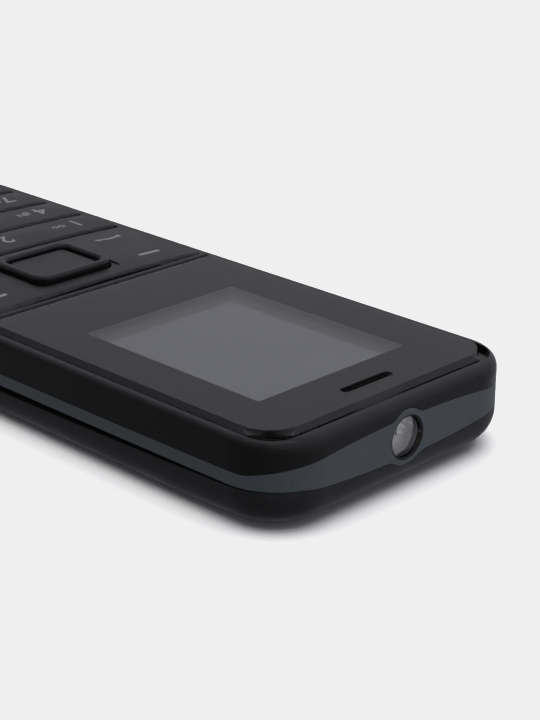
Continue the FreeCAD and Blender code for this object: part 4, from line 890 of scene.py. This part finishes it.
class PHONE_OT_legends(bpy.types.Operator):
    """Print the digits, small letters and call signs on the keys"""

    bl_idname = "phone.legends"
    bl_label = "Legends"

    rows = [
        [("1", "oo"), ("2", "abc"), ("3", "def")],
        [("4", "ghi"), ("5", "jkl"), ("6", "mno")],
        [("7", "pqrs"), ("8", "tuv"), ("9", "wxyz")],
        [("*", "+"), ("0", ""), ("#", "")],
    ]

    def execute(self, context):
        sizes = context.scene.phone_sizes
        ink = key_ink("legend_ink", context.scene.phone_finishes.legend)
        thick = sizes.ink_rise * 2
        for node, legends in zip(ROWS, self.rows):
            along = centre(*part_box(node))[1]
            meshes = []
            for column, (digit, letters) in zip((-1, 0, 1), legends):
                middle = sizes.column_pitch * column
                sign = text_mesh(digit, sizes.digit_height, thick)
                meshes.append(moved(sign, middle + sizes.digit_shift, along, -sizes.ink_rise))
                if letters:
                    small = text_mesh(letters, sizes.letter_height, thick)
                    meshes.append(moved(small, middle + sizes.letter_shift, along, -sizes.ink_rise))
            self.print_on(node, "legend_" + node, meshes, sizes, ink)
        self.print_on("function_plate", "legend_plate", self.plate_signs(sizes), sizes, ink)
        return {"FINISHED"}

    def plate_signs(self, sizes):
        """Soft-key dashes and the two handsets of the function plate."""
        thick = sizes.ink_rise * 2
        meshes = []
        for side in (-1, 1):
            dash = plate_mesh([centred_outline(*DASH_HALF, DASH_CORNER, 4)], thick)
            handset = plate_mesh([handset_outline(HANDSET_REACH, HANDSET_BOW, side)], thick)
            for sign, (across, along) in ((dash, DASH_PLACE), (handset, HANDSET_PLACE)):
                meshes.append(moved(sign, side * across, along, -sizes.ink_rise))
        return meshes

    def print_on(self, node, name, meshes, sizes, ink):
        """Lay flat signs on the upper surface of a node, as one piece."""
        mesh = drop_onto(sliced(joined(meshes), sizes.legend_step), node)
        add_piece(name, mesh, ink, node)


def handset_outline(reach, bow, side):
    """A handset seen from the side: a bowed bar that thickens at its two ends."""
    steps = 16
    upper = []
    lower = []
    for step in range(steps + 1):
        share = 2 * step / steps - 1
        across = reach * share
        middle = bow * share * share * side
        swell = max(0.0, (abs(share) - HANDSET_GRIP) / (1 - HANDSET_GRIP))
        half = HANDSET_HALF + HANDSET_SWELL * swell
        upper.append((across, middle + half))
        lower.append((across, middle - half))
    return lower + upper[::-1]


class PHONE_OT_torch(bpy.types.Operator):
    """Finish the torch's lens and cup, and put the cup and die inside its light"""

    bl_idname = "phone.torch"
    bl_label = "Torch"

    def execute(self, context):
        colours = context.scene.phone_finishes
        dress(acrylic("torch_acrylic", (0.98, 0.99, 1.0)), "torch_lens")
        dress(bright_cup("torch_cup", colours.chrome), "torch_reflector")
        dress(acrylic("light_epoxy", (0.98, 0.97, 0.90), 0.03), "torch_led")
        middle = centre(TORCH_LOW, TORCH_HIGH)[2]
        radius = (TORCH_HIGH.x - TORCH_LOW.x) / 2
        seal = washer(radius + SEAL_OVERLAP, radius - SEAL_COVER, SEAL_THICKNESS, SEAL_BEVEL)
        moved(tipped(seal, -90), 0, TORCH_HIGH.y - SEAL_SINK, middle)
        rubber = soft_rubber("torch_seal_rubber", colours.rubber)
        add_piece("torch_seal", seal, rubber, "torch_lens")
        holder = tipped(turned_mesh(LIGHT_CUP), -90)
        moved(holder, 0, LED_LOW.y + LIGHT_CUP_PLACE, middle)
        plating = plated_metal("light_cup_plate", colours.chrome, 0.12)
        add_piece("torch_light_cup", holder, plating, "torch_led")
        square = centred_outline(DIE_HALF, DIE_HALF, DIE_CORNER, 2)
        chip = tipped(plate_mesh([square], DIE_THICKNESS), -90)
        moved(chip, 0, LED_LOW.y + DIE_PLACE, middle)
        phosphor = printed_film("phosphor_yellow", (0.62, 0.47, 0.08), 0.1 * MM, 0.01 * MM)
        add_piece("torch_light_die", chip, phosphor, "torch_led")
        return {"FINISHED"}


class PHONE_OT_back(bpy.types.Operator):
    """Finish the camera, its window and the loudspeaker behind the grille"""

    bl_idname = "phone.back"
    bl_label = "Camera and loudspeaker"

    def execute(self, context):
        colours = context.scene.phone_finishes
        dress(acrylic("camera_window_acrylic", (0.95, 0.96, 0.98)), "camera_window")
        dress(filled_plastic("camera_black", colours.housing), "camera_module")
        dress(plated_metal("speaker_steel", colours.steel, 0.34), "loudspeaker")
        dress(soft_rubber("speaker_foam", colours.rubber, 0.8), "speaker_gasket")
        self.trim_window(colours)
        self.fit_camera(colours)
        sheet = inset_outline(SPEAKER_LOW, SPEAKER_HIGH, CLOTH_INSET, CLOTH_INSET, CLOTH_CORNER)
        cloth = moved(plate_mesh([sheet], CLOTH_THICKNESS), 0, 0, GASKET_LOW.z - CLOTH_DROP)
        weave = woven_mesh("speaker_weave", (0.03, 0.03, 0.03))
        add_piece("speaker_cloth", cloth, weave, "loudspeaker")
        return {"FINISHED"}

    def trim_window(self, colours):
        """The black print behind the camera's window and the bright ring round it."""
        across, along, _ = centre(WINDOW_LOW, WINDOW_HIGH)
        radius = (WINDOW_HIGH.x - WINDOW_LOW.x) / 2
        ink = glass_ink("window_ink", colours.print_black, 2 * MM, 2 * MM)
        hole = radius * WINDOW_INK_HOLE
        mask = washer(radius - WINDOW_INK_GAP, hole, WINDOW_INK_THICKNESS)
        moved(mask, across, along, WINDOW_HIGH.z - WINDOW_INK_SINK)
        add_piece("camera_window_print", mask, ink, "camera_window")
        chrome = plated_metal("camera_chrome", colours.chrome, 0.16)
        trim = washer(radius - TRIM_GAP, radius - TRIM_INNER_GAP, TRIM_THICKNESS, TRIM_BEVEL)
        moved(trim, across, along, WINDOW_LOW.z - TRIM_RISE)
        add_piece("camera_trim", trim, chrome, "camera_window")

    def fit_camera(self, colours):
        """The barrel and the glass that show through the window."""
        across, along, _ = centre(WINDOW_LOW, WINDOW_HIGH)
        black = filled_plastic("barrel_black", colours.housing)
        depth = CAMERA_LOW.z - WINDOW_HIGH.z - BARREL_GAP
        barrel = washer(BARREL_RADIUS, BARREL_BORE, depth, BARREL_BEVEL)
        moved(barrel, across, along, CAMERA_LOW.z - depth)
        add_piece("camera_barrel", barrel, black, "camera_module")
        dome = moved(turned_mesh(CAMERA_DOME), across, along, CAMERA_LOW.z - CAMERA_DOME_DROP)
        glass = acrylic("camera_lens_glass", (0.75, 0.8, 0.9))
        add_piece("camera_glass", dome, glass, "camera_module")


class PHONE_OT_power(bpy.types.Operator):
    """Finish the battery and its contacts"""

    bl_idname = "phone.power"
    bl_label = "Battery"

    def execute(self, context):
        colours = context.scene.phone_finishes
        dress(plated_metal("cell_wrap", colours.wrap, 0.42, (12.0, 1.0, 12.0)), "battery")
        dress(plated_metal("contact_gold", colours.gold, 0.22), "battery_pads", "battery_blades")
        dress(filled_plastic("connector_black", colours.housing), "battery_connector")
        inset = LABEL_INSET
        sheet = inset_outline(CELL_LOW, CELL_HIGH, inset, inset * 2, LABEL_CORNER)
        lower = moved(plate_mesh([sheet], LABEL_THICKNESS), 0, 0, CELL_LOW.z - LABEL_THICKNESS)
        label = label_film("cell_label", (0.55, 0.56, 0.58))
        add_piece("battery_label", lower, label, "battery")
        return {"FINISHED"}


class PHONE_OT_inside(bpy.types.Operator):
    """Finish the board and the pieces on it"""

    bl_idname = "phone.inside"
    bl_label = "Inner pieces"

    def execute(self, context):
        colours = context.scene.phone_finishes
        steel = plated_metal("can_steel", colours.steel)
        dress(solder_mask("board_mask", colours.board), "main_board")
        stamped = ["sim_holder", "memory_card_slot", "shield_can", "microphone", "vibration_motor"]
        dress(steel, *stamped)
        dress(plated_metal("screw_steel", (0.25, 0.25, 0.26), 0.3), "housing_screws")
        dress(plated_metal("weight_metal", (0.42, 0.42, 0.44), 0.35), "vibration_weight")
        dress(soft_rubber("boot_rubber", colours.rubber), "motor_boot", "microphone_boot")
        copper = (0.45, 0.22, 0.1)
        dress(printed_film("antenna_copper", copper, 1.2 * MM, 0.02 * MM), "antenna_flex")
        return {"FINISHED"}


class PHONE_OT_sockets(bpy.types.Operator):
    """Finish the two sockets in the bottom end, with the contacts and the ring that show"""

    bl_idname = "phone.sockets"
    bl_label = "Sockets"

    def execute(self, context):
        colours = context.scene.phone_finishes
        steel = plated_metal("socket_steel", colours.steel, 0.3)
        gold = plated_metal("socket_gold", colours.gold, 0.22)
        dress(steel, "micro_usb_socket")
        dress(filled_plastic("jack_black", colours.housing), "headphone_jack")
        middle, _, height = centre(USB_LOW, USB_HIGH)
        strip = rounded_outline(-CONTACT_HALF, CONTACT_HALF, 0, CONTACT_LENGTH, CONTACT_CORNER, 2)
        contacts = []
        for number in range(-2, 3):
            contact = plate_mesh([strip], CONTACT_THICKNESS)
            across = middle + number * CONTACT_PITCH
            moved(contact, across, USB_HIGH.y - CONTACT_DEPTH, height - CONTACT_THICKNESS)
            contacts.append(contact)
        add_piece("usb_contacts", joined(contacts), gold, "micro_usb_socket")
        middle, _, height = centre(JACK_LOW, JACK_HIGH)
        collar = tipped(washer(COLLAR_RADIUS, COLLAR_BORE, COLLAR_THICKNESS, COLLAR_BEVEL), 90)
        moved(collar, middle, JACK_LOW.y, height)
        chrome = plated_metal("collar_chrome", colours.chrome, 0.18)
        add_piece("jack_collar", collar, chrome, "headphone_jack")
        return {"FINISHED"}


class PHONE_OT_stage(bpy.types.Operator):
    """Set the pale floor, the soft light and the camera"""

    bl_idname = "phone.stage"
    bl_label = "Stage"

    def execute(self, context):
        studio = context.scene.phone_studio
        floor = self.lay_floor(studio)
        self.hang_light(studio)
        self.light_floor(floor, studio)
        self.light_world(context.scene, studio)
        self.stand_camera(context.scene, studio)
        self.clip_whites(context.scene.view_settings, studio.white_level)
        return {"FINISHED"}

    def lay_floor(self, studio):
        half = studio.floor_size / 2
        mesh = bpy.data.meshes.new("floor")
        corners = [(-half, -half, 0), (half, -half, 0), (half, half, 0), (-half, half, 0)]
        mesh.from_pydata(corners, [], [(0, 1, 2, 3)])
        floor = placed("floor", mesh)
        paper = Finish("floor_paper", studio.floor_colour, 0.9)
        paper.grain(0.5 * MM, 0.01 * MM, 0.2)
        paper.put("Specular IOR Level", 0.1)
        mesh.materials.append(paper.material)
        floor.visible_glossy = False
        floor.visible_diffuse = False
        return floor

    def hang_light(self, studio):
        data = bpy.data.lights.new("softbox", "AREA")
        data.shape = "SQUARE"
        data.size = studio.softbox_size
        data.energy = studio.softbox_power
        placed("softbox", data).location = (0.0, 0.0, studio.softbox_height)

    def light_floor(self, floor, studio):
        """An overhead light for the floor alone, so that the paper clips to an even white."""
        data = bpy.data.lights.new("floor_light", "SUN")
        data.energy = studio.floor_light
        data.angle = studio.floor_light_spread
        light = placed("floor_light", data)
        takers = bpy.data.collections.new("lit_by_floor_light")
        takers.objects.link(floor)
        light.light_linking.receiver_collection = takers

    def light_world(self, scene, studio):
        """Grey walls and a paler ceiling, lighter towards the torch end than at the side."""
        world = bpy.data.worlds.new("studio")
        scene.world = world
        world.use_nodes = True
        tree = Tree(world.node_tree)
        place = tree.node("ShaderNodeTexCoord").outputs["Generated"]
        up = tree.node("ShaderNodeSeparateXYZ", Vector=place).outputs["Z"]
        lift = tree.node("ShaderNodeMapRange", From_Min=-1.0, Value=up)
        ramp = tree.node("ShaderNodeValToRGB", Fac=lift.outputs["Result"])
        elements = ramp.color_ramp.elements
        elements[1].position = WALL_LIGHT[1][0]
        for height, level in WALL_LIGHT[2:]:
            elements.new(height)
        for element, (height, level) in zip(elements, WALL_LIGHT):
            element.position = height
            element.color = (*[level * part for part in WALL_TINT], 1.0)
        slant = tree.node("ShaderNodeVectorMath")
        slant.operation = "DOT_PRODUCT"
        slant.inputs[1].default_value = WALL_SLANT
        tree.link(place, slant.inputs[0])
        low, high = 1.0 - studio.side_light, 1.0 + studio.side_light
        share = slant.outputs["Value"]
        gain = tree.node("ShaderNodeMapRange", From_Min=-1.0, To_Min=low, To_Max=high, Value=share)
        lit = tree.node("ShaderNodeVectorMath")
        lit.operation = "SCALE"
        tree.link(ramp.outputs["Color"], lit.inputs[0])
        tree.link(gain.outputs["Result"], lit.inputs["Scale"])
        background = world.node_tree.nodes["Background"].inputs
        tree.link(lit.outputs["Vector"], background["Color"])
        background["Strength"].default_value = 1.0

    def clip_whites(self, view, level):
        """Print the picture straight, with everything brighter than the white level flat white."""
        view.view_transform = "Standard"
        view.use_curve_mapping = True
        mapping = view.curve_mapping
        mapping.extend = "HORIZONTAL"
        curve = mapping.curves[3]
        curve.points[1].location = (1.0, level)
        curve.points.new(level, level)
        for point in curve.points:
            point.handle_type = "VECTOR"
        mapping.update()

    def stand_camera(self, scene, studio):
        turn = studio.camera_turn
        fall = studio.camera_fall
        flat = math.cos(fall)
        forward = Vector((-math.sin(turn) * flat, math.cos(turn) * flat, -math.sin(fall)))
        right = forward.cross(UPRIGHT).normalized()
        up = right.cross(forward)
        rolled = Matrix.Rotation(studio.camera_roll, 3, forward)
        rows = (rolled @ right, rolled @ up, -forward)
        turned = Matrix(rows).transposed().to_4x4()
        data = bpy.data.cameras.new("camera")
        data.lens = studio.camera_lens
        data.sensor_width = 36.0
        data.clip_start = 0.01
        camera = placed("camera", data)
        camera.matrix_world = Matrix.Translation(Vector(studio.camera_place)) @ turned
        scene.camera = camera


STEPS = [
    PHONE_OT_casing,
    PHONE_OT_display,
    PHONE_OT_earpiece,
    PHONE_OT_keys,
    PHONE_OT_legends,
    PHONE_OT_torch,
    PHONE_OT_back,
    PHONE_OT_power,
    PHONE_OT_inside,
    PHONE_OT_sockets,
    PHONE_OT_stage,
]


class PHONE_PT_steps(bpy.types.Panel):
    """Lists the steps that dress the phone"""

    bl_idname = "PHONE_PT_steps"
    bl_label = "Phone"
    bl_space_type = "VIEW_3D"
    bl_region_type = "UI"
    bl_category = "Phone"

    def draw(self, context):
        for step in STEPS:
            self.layout.operator(step.bl_idname)


CLASSES = [PhoneFinishes, PhoneSizes, PhoneStudio, *STEPS, PHONE_PT_steps]


def register():
    for held in CLASSES:
        bpy.utils.register_class(held)
    bpy.types.Scene.phone_finishes = PointerProperty(type=PhoneFinishes)
    bpy.types.Scene.phone_sizes = PointerProperty(type=PhoneSizes)
    bpy.types.Scene.phone_studio = PointerProperty(type=PhoneStudio)


def unregister():
    del bpy.types.Scene.phone_studio
    del bpy.types.Scene.phone_sizes
    del bpy.types.Scene.phone_finishes
    for held in reversed(CLASSES):
        bpy.utils.unregister_class(held)


def main():
    register()
    for step in STEPS:
        group, name = step.bl_idname.split(".")
        getattr(getattr(bpy.ops, group), name)()


if __name__ == "__main__":
    main()
